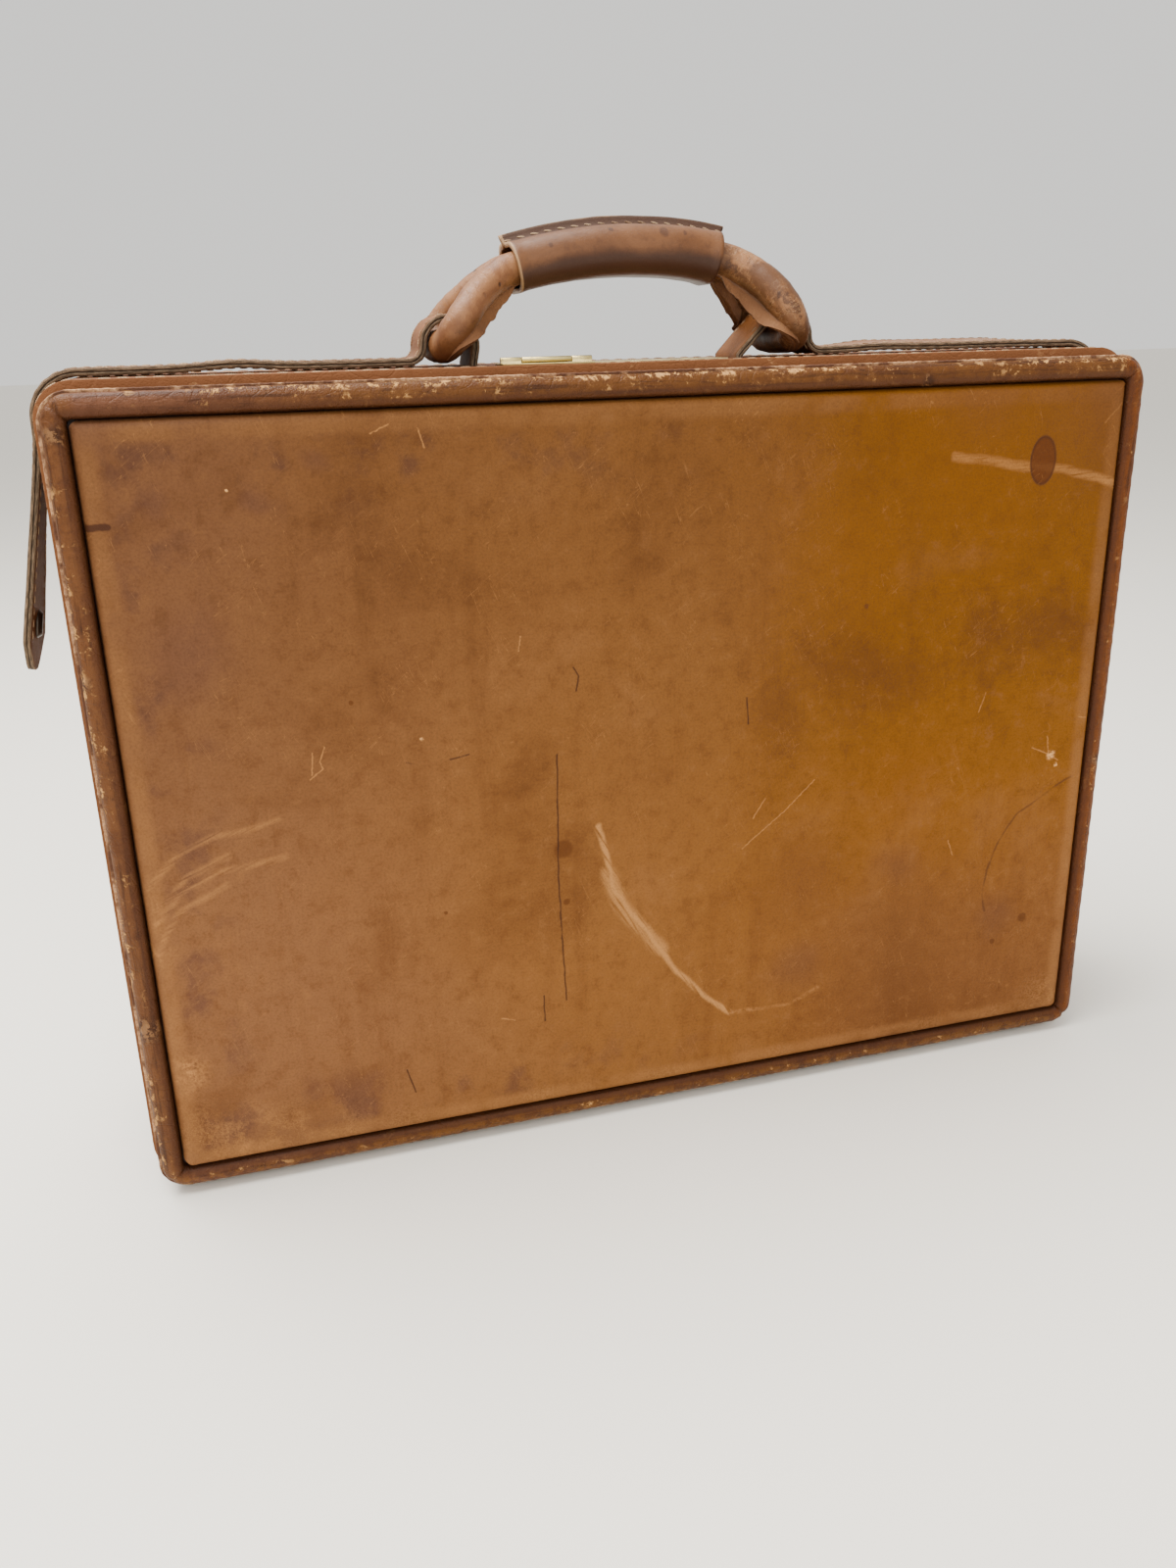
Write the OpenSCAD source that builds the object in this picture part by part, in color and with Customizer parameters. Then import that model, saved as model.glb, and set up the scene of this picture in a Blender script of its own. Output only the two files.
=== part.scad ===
// Framed leather briefcase: two wooden half shells covered in saddle leather, with
// padded faces inside a rolled binding, a piano hinge along the base, folding stays,
// a dial lock with a hasp, and a rolled leather handle held by two long straps.
// Millimetres. X runs right, Y runs back, Z up. The case stands on its hinge side,
// and the origin lies on that face, at the middle of its width and of its depth.

/* [Case] */
// Width of the face, over its binding
face_w = 457; // [400:1:520]
// Height of the face, over its binding
face_h = 332; // [300:1:380]
// Depth of the closed case, face to face
case_d = 110; // [100:1:150]
// Depth of the lid, from the front face to the parting line
lid_d = 40; // [36:1:48]
// How far the side band stands out past the binding
band_proud = 4; // [2:0.5:6]
// Outer corner radius of the side band
band_corner_r = 15; // [15:0.5:24]

/* [Shell layers] */
// Thickness of the covering leather
leather_t = 2.5; // [1.6:0.1:3]
// Thickness of the wooden frame under the binding
frame_t = 6; // [5:0.5:8]
// Thickness of the plywood boards behind the faces
board_t = 3; // [2:0.5:5]
// Thickness of the fabric lining
lining_t = 1.2; // [0.8:0.1:2]
// Thickness of the lip that closes the parting line from inside
closing_lip_t = 2; // [1.5:0.1:3]
// How far the closing lip reaches into the lid
closing_lip_reach = 5; // [3:0.5:8]
// How far the closing lip is glued to the inside of the body
closing_lip_hold = 8; // [5:0.5:12]

/* [Binding and padded faces] */
// Depth of the rolled binding along the side
bind_d = 20; // [14:1:24]
// Width of the rolled binding on the face
bind_w = 9; // [8:0.5:10.5]
// Height of the rolled edge of the binding
bind_roll_h = 4; // [2:0.5:5.5]
// Width of the groove between binding and padded face
groove_w = 1.6; // [0.8:0.1:3]
// Thickness of a padded face, leather and wadding
pad_t = 6; // [5:0.5:9]
// Width over which a padded face rolls down into the groove
pad_roll_w = 5; // [4:0.5:12]

/* [Hinge] */
// Length of the piano hinge
hinge_l = 400; // [300:5:400]
// Number of hinge knuckles, an odd number
hinge_knuckles = 15; // [9:2:21]
// Outer radius of a hinge knuckle
knuckle_r = 2.4; // [2:0.1:3]
// Radius of the hinge pin
hinge_pin_r = 1.2; // [0.8:0.1:1.4]
// Thickness of a hinge leaf
leaf_t = 0.8; // [0.6:0.1:1]
// Height of a hinge leaf above the pin
leaf_h = 9; // [7:0.5:9]

/* [Handle] */
// Radius of the rolled leather
roll_r = 6.5; // [5.5:0.1:7]
// Length of the handle between the outsides of its two ends
handle_span = 165; // [160:1:190]
// Height of the ends of the roll above the top of the case
toe_rise = 8; // [7.5:0.5:14]
// Height of the middle of the roll above the top of the case
grip_rise = 43.6; // [38:0.2:55]
// Distance from the centre line to each side of the ring, at its widest
ring_half_w = 21.1; // [21.1:0.1:26]
// Length of the grip, measured flat
grip_l = 91; // [80:1:100]
// Radius of the curve of the grip
grip_curve_r = 200; // [150:5:400]
// Height of the grip's cross-section
grip_h = 20; // [19:0.5:24]
// Thickness of the grip's leather at the sides
grip_wall = 2.2; // [1.6:0.1:3]
// Height of the sewn seam along the top of the grip
seam_h = 4.5; // [2:0.5:7]
// Thickness of the sewn seam
seam_t = 4; // [3:0.2:6]

/* [Straps] */
// Width of the handle straps
strap_w = 25; // [18:0.5:25]
// Thickness of the handle straps, two plies sewn together
strap_t = 3.6; // [2.6:0.1:4]
// Distance inwards from the handle's left end to where its strap enters the top
left_entry_in = 11.5; // [11:0.5:24]
// The same for the right-hand strap, which leans further in
right_entry_in = 24; // [11:0.5:24]
// Depth of the mortise that holds the end of a strap
strap_mortise = 7; // [4:0.5:9]
// Clear space between the roll and the strap over it
strap_slack = 2.6; // [2.4:0.1:3.4]
// Clear space between the roll's end and the strap that bears on it
strap_bearing = 0.7; // [0.4:0.1:1]
// Length of a hanging strap end, down to its point
tail_l = 97; // [70:1:120]
// Length of the pointed part of a strap end
tail_point = 13; // [6:1:20]
// Distance from a strap end's bend down to its snap
snap_drop = 78; // [50:1:80]
// Radius of a snap's socket
snap_r = 6; // [4.5:0.1:7]
// How far the loose left end leans out
left_lean = 11; // [4:1:60]
// How far the fastened right end leans out over its snap
fastened_lean = 2.8; // [2.6:0.1:4]

/* [Lock] */
// Length of the lock plate
plate_l = 92; // [88:1:94]
// Depth of the lock plate
plate_d = 24.6; // [23:0.2:26]
// Thickness of the lock plate
plate_t = 1.2; // [0.8:0.1:1.4]
// How deep the lock plate is let into the leather
plate_sink = 1; // [0.5:0.1:1.2]
// Radius of a number dial
dial_r = 5; // [4.8:0.1:5.4]
// Thickness of a number dial
dial_w = 5; // [4:0.2:6]
// Distance between dials
dial_pitch = 9; // [8:0.5:9]
// Radius of the dials' axle
dial_axle_r = 1.5; // [1:0.1:2]
// Travel of the release button
button_travel = 4; // [2:0.5:4]
// Width of the hasp
hasp_w = 38; // [30:1:40]
// Distance from the centre line to the middle of the hasp
hasp_x = 38; // [36:1:40]

/* [Stays] */
// Width of a stay's arms
stay_w = 9; // [6:0.5:12]
// Thickness of a stay's arms
stay_t = 2; // [1:0.2:2.4]
// Radius of a stay's rivets
stay_rivet_r = 2; // [1.5:0.1:2.6]
// Height of the stay's pivot in the body above the hinge
body_stay_z = 120; // [100:1:140]
// Depth of the stay's pivot in the body behind the parting line
body_stay_y = 35; // [25:1:45]
// Height of the stay's pivot in the lid above the hinge
lid_stay_z = 130; // [110:1:140]
// Depth of the stay's pivot in the lid in front of the parting line
lid_stay_y = 18; // [12:1:20]

/* [Inside the lid] */
// Width of the document pocket
pocket_w = 380; // [200:1:390]
// Height of the document pocket
pocket_h = 190; // [100:1:210]
// Gap inside the document pocket
pocket_gap = 3; // [1:0.5:3.5]
// Width of a pen loop
pen_loop_w = 18; // [10:1:30]
// Inner radius of a pen loop
pen_loop_r = 6; // [4:0.5:7]
// Distance from the top of the room down to the foot of the pen loops
pen_loop_drop = 50; // [40:1:70]
// Distance between pen loops
pen_loop_pitch = 40; // [30:1:50]

/* [Fits] */
// Clearance round a pin that turns
pin_fit = 0.05; // [0.02:0.01:0.1]
// Gap between pieces that move past each other
gap = 0.3; // [0.2:0.05:0.4]

/* [Hidden] */
$fn = 48;
case_h = face_h + 2 * band_proud;
band_half_w = face_w / 2 + band_proud;
mid_z = case_h / 2;
parting_y = lid_d - case_d / 2;
body_d = case_d - lid_d;
bind_corner_r = max(band_corner_r - band_proud, bind_w + 0.5);
frame_in = leather_t + frame_t;
room_in = frame_in + lining_t;
room_w = face_w - 2 * room_in;
room_h = face_h - 2 * room_in;
board_z = board_t + pad_t;
floor_t = board_z + lining_t;

hinge_z = knuckle_r + 0.2;
relief_r = knuckle_r + gap;
knuckle_pitch = hinge_l / hinge_knuckles;

toe_x = handle_span / 2 - roll_r;
toe_z = case_h + toe_rise;
grip_z = case_h + grip_rise;
grip_half_angle = asin(grip_l / 2 / grip_curve_r);
grip_inner_h = roll_r + 0.7;
roll_spread = roll_r + 0.3;
grip_hollow = roll_spread + roll_r + 0.4;
wrap_half_w = grip_hollow + grip_wall;
ring_steps = 3;
ring_sides = 14;
// How far along, outwards and down each point of the ring's leg lies, from grip to end
leg_shape = [[0.32, 0.25, 0.16], [0.59, 0.68, 0.38], [0.79, 1, 0.62], [0.92, 0.94, 0.83],
    [0.97, 0.66, 0.965], [1, 0.2, 1]];

strap_arch_r = roll_r + strap_slack + strap_t / 2;
loop_x = toe_x - strap_slack + strap_bearing;
strap_run_z = case_h + gap + strap_t / 2;
strap_foot_r = toe_z - strap_run_z;
strap_corner_x = band_half_w - band_corner_r;
strap_corner_z = case_h - band_corner_r;
strap_corner_r = band_corner_r + gap + strap_t / 2;
tail_x = strap_corner_x + strap_corner_r;
tail_z = strap_corner_z - gap - strap_t / 2;
snap_rise = 2.5;
snap_cap_t = 1.2;
stud_base_t = 0.8;
stud_z = tail_z - snap_drop * cos(fastened_lean);

tray_half_l = 39.5;
tray_y = parting_y + 2.5;
tray_d = 20;
tray_wall = 1;
plate_y = parting_y + 0.4;
plate_base = case_h - plate_sink;
plate_top = plate_base + plate_t;
dial_y = parting_y + 12;
dial_z = plate_top + 0.1 - dial_r;
tray_z = dial_z - dial_r - 0.4 - tray_wall;
first_dial_x = 4;
dials = 3;
slot_half_w = 4;
slot_reach = 10.9;
button_x = 31;
button_w = 6;
button_d = 8;
button_t = 1.4;
button_top = plate_top + 0.2;
bar_y = parting_y + 18.6;
bar_z = tray_z + 6.4;
bar_h = plate_base - 0.4 - bar_z;
hasp_pin_y = parting_y - 12.5;
hasp_plate_t = 0.8;
hasp_knuckle_r = 1.1;
hasp_pin_r = 0.5;
hasp_pin_z = case_h + hasp_plate_t + 0.1 + hasp_knuckle_r;
hasp_ear = 8.5;
screw_head_t = 0.6;
screw_head_r = 1.5;
tongue_t = 1;
tongue_z = case_h + hasp_plate_t + screw_head_t + 0.1;

lid_stay_x = room_w / 2 - closing_lip_t - gap * 2 - stay_t;
body_stay_x = lid_stay_x - gap * 2 - stay_t;
lid_stay_open = [-lid_stay_z, -lid_stay_y];
stay_arm_l = norm(lid_stay_open - [body_stay_y, body_stay_z]) / 2;
stay_middle = [(body_stay_y - lid_stay_y) / 2, (body_stay_z + lid_stay_z) / 2];
stay_apart = norm([body_stay_y + lid_stay_y, body_stay_z - lid_stay_z]);
stay_rise = sqrt(stay_arm_l * stay_arm_l - stay_apart * stay_apart / 4);
elbow = stay_middle + [lid_stay_z - body_stay_z, body_stay_y + lid_stay_y] * stay_rise / stay_apart;

leather_red = [0.45, 0.22, 0.12];
leather_tan = [0.66, 0.42, 0.2];
leather_strap = [0.36, 0.25, 0.18];
brass = [0.78, 0.65, 0.36];
wood = [0.76, 0.62, 0.42];
cloth = [0.5, 0.38, 0.26];

// Places a shape that stands on the parting plane so that it faces the front
module in_lid() {
    translate([0, parting_y, mid_z]) rotate([90, 0, 0]) children();
}

// Places a shape that stands on the parting plane so that it faces the back
module in_body() {
    translate([0, parting_y, mid_z]) rotate([-90, 0, 0]) children();
}

// Carries a flat profile round a rectangle with round corners. The profile's X is the
// distance outwards from that rectangle, and its Y the distance from the parting plane.
module round_the_case(w, h, r) {
    for (turn = [0:3]) {
        along = turn % 2 == 0 ? w : h;
        across = turn % 2 == 0 ? h : w;
        rotate(turn * 90) {
            translate([along / 2 - r, across / 2 - r]) rotate_extrude(angle = 90)
                translate([r, 0]) children();
            translate([along / 2, across / 2 - r]) rotate([90, 0, 0])
                linear_extrude(across - 2 * r) children();
        }
    }
}

module rounded_plate(w, h, r, t) {
    linear_extrude(t) union() {
        square([w - 2 * r, h], center = true);
        square([w, h - 2 * r], center = true);
        for (x = [-1, 1], y = [-1, 1]) translate([x * (w / 2 - r), y * (h / 2 - r)]) circle(r);
    }
}

// The room for the hinge barrel and its leaves, cut from the base of both shells
module hinge_room() {
    translate([-band_half_w - 1, parting_y - relief_r, -1])
        cube([2 * band_half_w + 2, 2 * relief_r, hinge_z + 1]);
    translate([-hinge_l / 2 - 1, parting_y, hinge_z]) rotate([0, 90, 0])
        cylinder(r = relief_r, h = hinge_l + 2);
    translate([-hinge_l / 2 - gap, parting_y - leaf_t - 0.1, hinge_z])
        cube([hinge_l + 2 * gap, 2 * leaf_t + 0.2, leaf_h + gap]);
}

// The room for the lock's plate and tray and the hasp's staple, cut from the top of the body
module lock_room() {
    translate([-plate_l / 2 - 0.1, parting_y - 1, plate_base])
        cube([plate_l + 0.2, plate_y + plate_d + 0.1 - parting_y + 1, 20]);
    translate([-tray_half_l - 0.1, tray_y - 0.1, tray_z])
        cube([2 * tray_half_l + 0.2, tray_d + 0.2, 20]);
    hasp_slot();
}

module hasp_slot() {
    translate([-hasp_x - slot_half_w, parting_y - 1, tray_z + tray_wall])
        cube([2 * slot_half_w, slot_reach + 1, 20]);
}

module strap_rooms() {
    for (x = [left_entry_in - toe_x, toe_x - right_entry_in])
        translate([x - strap_t / 2 - gap, -strap_w / 2 - gap, case_h - strap_mortise - gap])
            cube([strap_t + 2 * gap, strap_w + 2 * gap, strap_mortise + 5]);
}

// Half shell layers, from the inside out

module shell_frame(depth) {
    step = depth - bind_d - leather_t;
    round_the_case(face_w, face_h, bind_corner_r) polygon([[-frame_in, 0],
        [band_proud - leather_t, 0], [band_proud - leather_t, step], [-leather_t, step],
        [-leather_t, depth - pad_t], [-frame_in, depth - pad_t]]);
}

module shell_band(depth) {
    step = depth - bind_d;
    round_the_case(face_w, face_h, bind_corner_r) polygon([[band_proud - leather_t, 0],
        [band_proud, 0], [band_proud, step], [-leather_t, step], [-leather_t, step - leather_t],
        [band_proud - leather_t, step - leather_t]]);
}

module shell_binding(depth) {
    step = depth - bind_d;
    roll = [for (a = [0:15:180]) [-bind_w / 2 + bind_w / 2 * cos(a), depth - bind_roll_h
        + bind_roll_h * sin(a)]];
    round_the_case(face_w, face_h, bind_corner_r) polygon(concat([[-leather_t, step], [0, step]],
        roll, [[-bind_w, depth - pad_t], [-leather_t, depth - pad_t]]));
}

module shell_board(depth) {
    translate([0, 0, depth - board_z]) rounded_plate(face_w - 2 * frame_in, face_h - 2 * frame_in,
        max(bind_corner_r - frame_in, 0.5), board_t);
}

module shell_panel(depth) {
    w = face_w - 2 * (bind_w + groove_w);
    h = face_h - 2 * (bind_w + groove_w);
    r = pad_roll_w + 0.5;
    edge = [for (a = [0:15:90]) [-pad_roll_w * (1 - cos(a)), pad_t * sin(a)]];
    translate([0, 0, depth - pad_t]) {
        round_the_case(w, h, r) polygon(concat([[-pad_roll_w, 0]], edge));
        translate([0, 0, pad_t / 2])
            cube([w - 2 * pad_roll_w, h - 2 * pad_roll_w, pad_t], center = true);
    }
}

module shell_lining(depth) {
    r = max(bind_corner_r - frame_in, 0.5);
    inner_r = max(r - lining_t, 0.3);
    difference() {
        translate([0, 0, 0.5]) rounded_plate(face_w - 2 * frame_in, face_h - 2 * frame_in, r,
            depth - board_z - 0.5);
        rounded_plate(room_w, room_h, inner_r, depth - floor_t);
    }
}

// Body

module body_frame() {
    color(wood) difference() {
        in_body() shell_frame(body_d);
        hinge_room();
        lock_room();
        strap_rooms();
        screw_holes(lock_screw_places(), 5.4);
    }
}

module body_band_leather() {
    color(leather_red) difference() {
        in_body() shell_band(body_d);
        hinge_room();
        lock_room();
        strap_rooms();
        screw_holes(lock_screw_places(), 5.4);
    }
}

module rear_binding() { color(leather_red) in_body() shell_binding(body_d); }

module rear_board() { color(wood) in_body() shell_board(body_d); }

module rear_panel() { color(leather_tan) in_body() shell_panel(body_d); }

module body_lining() { color(cloth) in_body() shell_lining(body_d); }

module closing_lip() {
    color(cloth) in_body() round_the_case(room_w, room_h, closing_lip_t + 0.6) polygon([
        [-closing_lip_t - 0.5, -closing_lip_reach], [-0.5, -closing_lip_reach], [-0.5, 0.5],
        [0, 0.5], [0, closing_lip_hold], [-closing_lip_t - 0.5, closing_lip_hold]]);
}

// One leaf of the piano hinge. Its knuckles are the even ones in the body, the odd in the lid.
module hinge_leaf(first, side) {
    difference() {
        union() {
            translate([-hinge_l / 2, side > 0 ? parting_y + 0.05 : parting_y - leaf_t - 0.05,
                hinge_z + relief_r]) cube([hinge_l, leaf_t, leaf_h - relief_r]);
            for (i = [first:2:hinge_knuckles - 1]) {
                x = -hinge_l / 2 + i * knuckle_pitch + gap / 2;
                translate([x, parting_y, hinge_z]) rotate([0, 90, 0])
                    cylinder(r = knuckle_r, h = knuckle_pitch - gap);
                translate([x, side > 0 ? parting_y + 0.05 : parting_y - leaf_t - 0.05,
                    hinge_z + knuckle_r - 0.4]) cube([knuckle_pitch - gap, leaf_t, 1]);
            }
        }
        translate([-hinge_l / 2 - 1, parting_y, hinge_z]) rotate([0, 90, 0])
            cylinder(r = hinge_pin_r + pin_fit, h = hinge_l + 2);
    }
}

module body_hinge_leaf() { color(brass) hinge_leaf(0, 1); }

module hinge_pin() {
    color(brass) translate([-hinge_l / 2, parting_y, hinge_z]) rotate([0, 90, 0])
        cylinder(r = hinge_pin_r, h = hinge_l);
}

// Lock

module lock_case() {
    cheek_l = 11.2;
    color(brass) difference() {
        union() {
            difference() {
                translate([-tray_half_l, tray_y, tray_z])
                    cube([2 * tray_half_l, tray_d, plate_base - tray_z]);
                translate([-tray_half_l + tray_wall, tray_y + tray_wall, tray_z + tray_wall])
                    cube([2 * (tray_half_l - tray_wall), tray_d - 2 * tray_wall, 20]);
            }
            for (x = cheek_places()) translate([x, dial_y - cheek_l / 2, tray_z + tray_wall / 2])
                cube([1, cheek_l, dial_z - tray_z + dial_axle_r + 1]);
        }
        translate([cheek_places()[0] - 1, dial_y, dial_z]) rotate([0, 90, 0])
            cylinder(r = dial_axle_r + pin_fit, h = 40);
        hasp_slot();
    }
}

// Left edges of the two cheeks that carry the dials' axle
function cheek_places() = [first_dial_x - dial_w / 2 - 2.2,
    first_dial_x + (dials - 1) * dial_pitch + dial_w / 2 + 1.2];

module dial_axle() {
    start = cheek_places()[0];
    color(brass) translate([start, dial_y, dial_z]) rotate([0, 90, 0])
        cylinder(r = dial_axle_r, h = cheek_places()[1] + 1 - start);
}

module lock_plate() {
    window_d = 2 * sqrt(dial_r * dial_r - pow(plate_base - dial_z, 2)) + 1;
    color(brass) difference() {
        translate([-plate_l / 2, plate_y, plate_base]) cube([plate_l, plate_d, plate_t]);
        for (i = [0:dials - 1])
            translate([first_dial_x + i * dial_pitch - dial_w / 2 - 0.4, dial_y - window_d / 2,
                plate_base - 1]) cube([dial_w + 0.8, window_d, plate_t + 2]);
        translate([button_x - button_w / 2 - gap, dial_y - 3 - gap, plate_base - 1])
            cube([button_w + button_travel + 2 * gap, button_d + 2 * gap, plate_t + 2]);
        hasp_slot();
        screw_holes(lock_screw_places(), 5.4);
        for (p = lock_screw_places()) translate(p - [0, 0, screw_head_t])
            cylinder(r = screw_head_r + 0.1, h = 2 * screw_head_t);
    }
}

function lock_screw_places() = [for (x = [-1, 1], y = [2.2, plate_d - 2.2])
    [x * (plate_l / 2 - 2.6), plate_y + y, plate_top]];

function hasp_screw_places() = [for (x = [-1, 1])
    [-hasp_x + x * (hasp_w / 2 - 9), parting_y - 4.5, case_h + hasp_plate_t]];

module screw_holes(places, depth) {
    for (p = places) translate(p - [0, 0, depth]) cylinder(r = 0.9, h = depth + 1);
}

// Screws whose heads rest on the given places, or lie sunk below them
module screws(places, depth, sunk) {
    for (p = places) translate(p - [0, 0, sunk]) {
        translate([0, 0, sunk - depth]) cylinder(r = 0.85, h = depth - sunk + 0.2);
        difference() {
            translate([0, 0, 0.02]) cylinder(r = screw_head_r, h = screw_head_t);
            translate([-2, -0.2, screw_head_t - 0.2]) cube([4, 0.4, 1]);
        }
    }
}

module lock_screws() { color(brass) screws(lock_screw_places(), 5, screw_head_t); }

module hasp_screws() { color(brass) screws(hasp_screw_places(), 5, 0); }

module dial(i) {
    color(brass) translate([first_dial_x + i * dial_pitch - dial_w / 2, dial_y, dial_z])
        rotate([0, 90, 0]) difference() {
            cylinder(r = dial_r, h = dial_w);
            translate([0, 0, -1]) cylinder(r = dial_axle_r + pin_fit, h = dial_w + 2);
            for (a = [0:36:324]) rotate(a) translate([dial_r + 0.5, 0, dial_w - 1.2])
                cylinder(r = 0.9, h = 2);
        }
}

module dial_1() { dial(0); }

module dial_2() { dial(1); }

module dial_3() { dial(2); }

// The button in its window of the plate, its neck, and the bar that reaches the staple
module release_button() {
    bolt_x = -hasp_x + slot_half_w;
    color(brass) {
        translate([button_x - button_w / 2, dial_y - 3, button_top - button_t])
            cube([button_w, button_d, button_t]);
        translate([button_x - 1.5, dial_y - 1, bar_z + 1])
            cube([3, 4, button_top - button_t / 2 - bar_z - 1]);
        translate([button_x - 1.5, dial_y - 1, bar_z]) cube([3, bar_y - dial_y + 2.5, bar_h]);
        translate([bolt_x + 2, bar_y - 0.5, bar_z]) cube([button_x - bolt_x - 0.5, 2, bar_h]);
        translate([bolt_x + 2, parting_y + 6, bar_z]) cube([2, bar_y + 1 - parting_y - 6, bar_h]);
        translate([bolt_x, parting_y + 6, bar_z]) cube([3, 2, 2]);
    }
}

module hasp_knuckles(from, to) {
    translate([from, hasp_pin_y, hasp_pin_z]) rotate([0, 90, 0])
        cylinder(r = hasp_knuckle_r, h = to - from);
}

module hasp_bore() {
    translate([-hasp_x - hasp_w, hasp_pin_y, hasp_pin_z]) rotate([0, 90, 0])
        cylinder(r = hasp_pin_r + pin_fit, h = 2 * hasp_w);
}

module hasp_plate() {
    left = -hasp_x - hasp_w / 2;
    color(brass) difference() {
        union() {
            translate([left, hasp_pin_y - 5, case_h]) cube([hasp_w, 15.5, hasp_plate_t]);
            for (x = [left, left + hasp_w - hasp_ear]) {
                hasp_knuckles(x, x + hasp_ear);
                translate([x, hasp_pin_y - hasp_knuckle_r, case_h + 0.4])
                    cube([hasp_ear, 2 * hasp_knuckle_r, hasp_pin_z - case_h - 0.4]);
            }
        }
        hasp_bore();
        screw_holes(hasp_screw_places(), 5.4);
    }
}

module hasp_pin() {
    color(brass) translate([-hasp_x - hasp_w / 2, hasp_pin_y, hasp_pin_z]) rotate([0, 90, 0])
        cylinder(r = hasp_pin_r, h = hasp_w);
}

module hasp_tongue() {
    left = -hasp_x - hasp_w / 2 + hasp_ear + gap;
    w = hasp_w - 2 * hasp_ear - 2 * gap;
    staple_y = parting_y + 5;
    color(brass) difference() {
        union() {
            hasp_knuckles(left, left + w);
            translate([left, hasp_pin_y, tongue_z])
                cube([w, parting_y + 13 - hasp_pin_y, tongue_t]);
            translate([-hasp_x - 3, staple_y, bar_z - 1])
                cube([6, 4, tongue_z - bar_z + 1.5]);
        }
        hasp_bore();
        translate([-hasp_x - 4, staple_y + 0.8, bar_z - 0.2]) cube([8, 2.4, 2.6]);
    }
}

// Handle

grip_end_z = grip_z - grip_curve_r * (1 - cos(grip_half_angle));

function grip_arc_z(x) = grip_z - grip_curve_r + sqrt(grip_curve_r * grip_curve_r - x * x);

function roll_quarter() = concat(
    [for (share = [0, 0.5, 1]) let (x = grip_l / 2 * share) [x, -roll_spread, grip_arc_z(x)]],
    [for (p = leg_shape) [grip_l / 2 + (toe_x - grip_l / 2) * p[0],
        -roll_spread - (ring_half_w - roll_spread) * p[1],
        grip_end_z - (grip_end_z - toe_z) * p[2]]],
    [[toe_x, 0, toe_z]]);

// The whole ring: front right, back right, back left and front left
function roll_points() = let (q = roll_quarter(), n = len(q) - 1) concat(
    q,
    [for (i = [n - 1:-1:0]) [q[i][0], -q[i][1], q[i][2]]],
    [for (i = [1:n]) [-q[i][0], -q[i][1], q[i][2]]],
    [for (i = [n - 1:-1:1]) [-q[i][0], q[i][1], q[i][2]]]);

function smooth(a, b, c, d, t) = 0.5 * (2 * b + (c - a) * t + (2 * a - 5 * b + 4 * c - d) * t * t
    + (3 * b - a - 3 * c + d) * t * t * t);

function smooth_loop(p, steps) = let (n = len(p)) [for (i = [0:n - 1], k = [0:steps - 1])
    smooth(p[(i + n - 1) % n], p[i], p[(i + 1) % n], p[(i + 2) % n], k / steps)];

// A closed tube along a closed line
module closed_tube(line, r, sides) {
    n = len(line);
    rings = [for (i = [0:n - 1]) let (
        way = line[(i + 1) % n] - line[(i + n - 1) % n],
        t = way / norm(way),
        flat = cross(t, [0, 0, 1]),
        s = flat / norm(flat),
        u = cross(s, t))
        [for (k = [0:sides - 1]) line[i] + r * (cos(360 * k / sides) * s + sin(360 * k / sides) * u)]];
    faces = [for (i = [0:n - 1], k = [0:sides - 1]) let (j = (i + 1) % n, m = (k + 1) % sides)
        each [[i * sides + k, j * sides + k, j * sides + m], [i * sides + k, j * sides + m, i * sides + m]]];
    polyhedron([for (ring = rings) each ring], faces);
}

module handle_roll() {
    color([0.55, 0.33, 0.22]) closed_tube(smooth_loop(roll_points(), ring_steps), roll_r, ring_sides);
}

module grip_profile(half_w, half_h) {
    translate([grip_curve_r, 0]) {
        square([2 * half_h, 2 * (half_w - half_h)], center = true);
        for (side = [-1, 1]) translate([0, side * (half_w - half_h)]) circle(half_h);
    }
}

module handle_grip() {
    color([0.64, 0.42, 0.27]) translate([0, 0, grip_z - grip_curve_r]) rotate([90, 0, 0])
        rotate([0, 0, 90 - grip_half_angle]) rotate_extrude(angle = 2 * grip_half_angle) difference() {
            union() {
                grip_profile(wrap_half_w, grip_h / 2);
                translate([grip_curve_r + grip_h / 2 - 1, -seam_t / 2]) square([seam_h + 1, seam_t]);
            }
            grip_profile(grip_hollow, grip_inner_h);
        }
}

// Straps. Each is drawn as a ribbon along a flat line for the right-hand side.

function arc(x, z, r, from, to, steps) = [for (i = [0:steps]) let (a = from + (to - from) * i / steps)
    [x + r * cos(a), z + r * sin(a)]];

function strap_line(entry_in) = let (
    entry = [toe_x - entry_in, case_h + 1],
    away = [loop_x, toe_z] - entry,
    start = atan2(-away[1], -away[0]) + 360 - acos(min(1, strap_arch_r / norm(away))))
    concat([[entry[0], case_h - strap_mortise], entry],
        arc(loop_x, toe_z, strap_arch_r, start, 0, 14),
        arc(loop_x + strap_arch_r + strap_foot_r, toe_z, strap_foot_r, 186, 270, 7),
        arc(strap_corner_x, strap_corner_z, strap_corner_r, 90, 0, 10));

function line_normal(p, i) = let (d = p[min(i + 1, len(p) - 1)] - p[max(i - 1, 0)])
    [-d[1], d[0]] / norm(d);

function ribbon(p, t) = concat([for (i = [0:len(p) - 1]) p[i] + line_normal(p, i) * t / 2],
    [for (i = [len(p) - 1:-1:0]) p[i] - line_normal(p, i) * t / 2]);

module handle_strap(entry_in) {
    rotate([90, 0, 0]) linear_extrude(strap_w, center = true)
        polygon(ribbon(strap_line(entry_in), strap_t));
}

module right_handle_strap() { color(leather_strap) handle_strap(right_entry_in); }

module left_handle_strap() {
    color(leather_strap) mirror([1, 0, 0]) handle_strap(left_entry_in);
}

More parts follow.
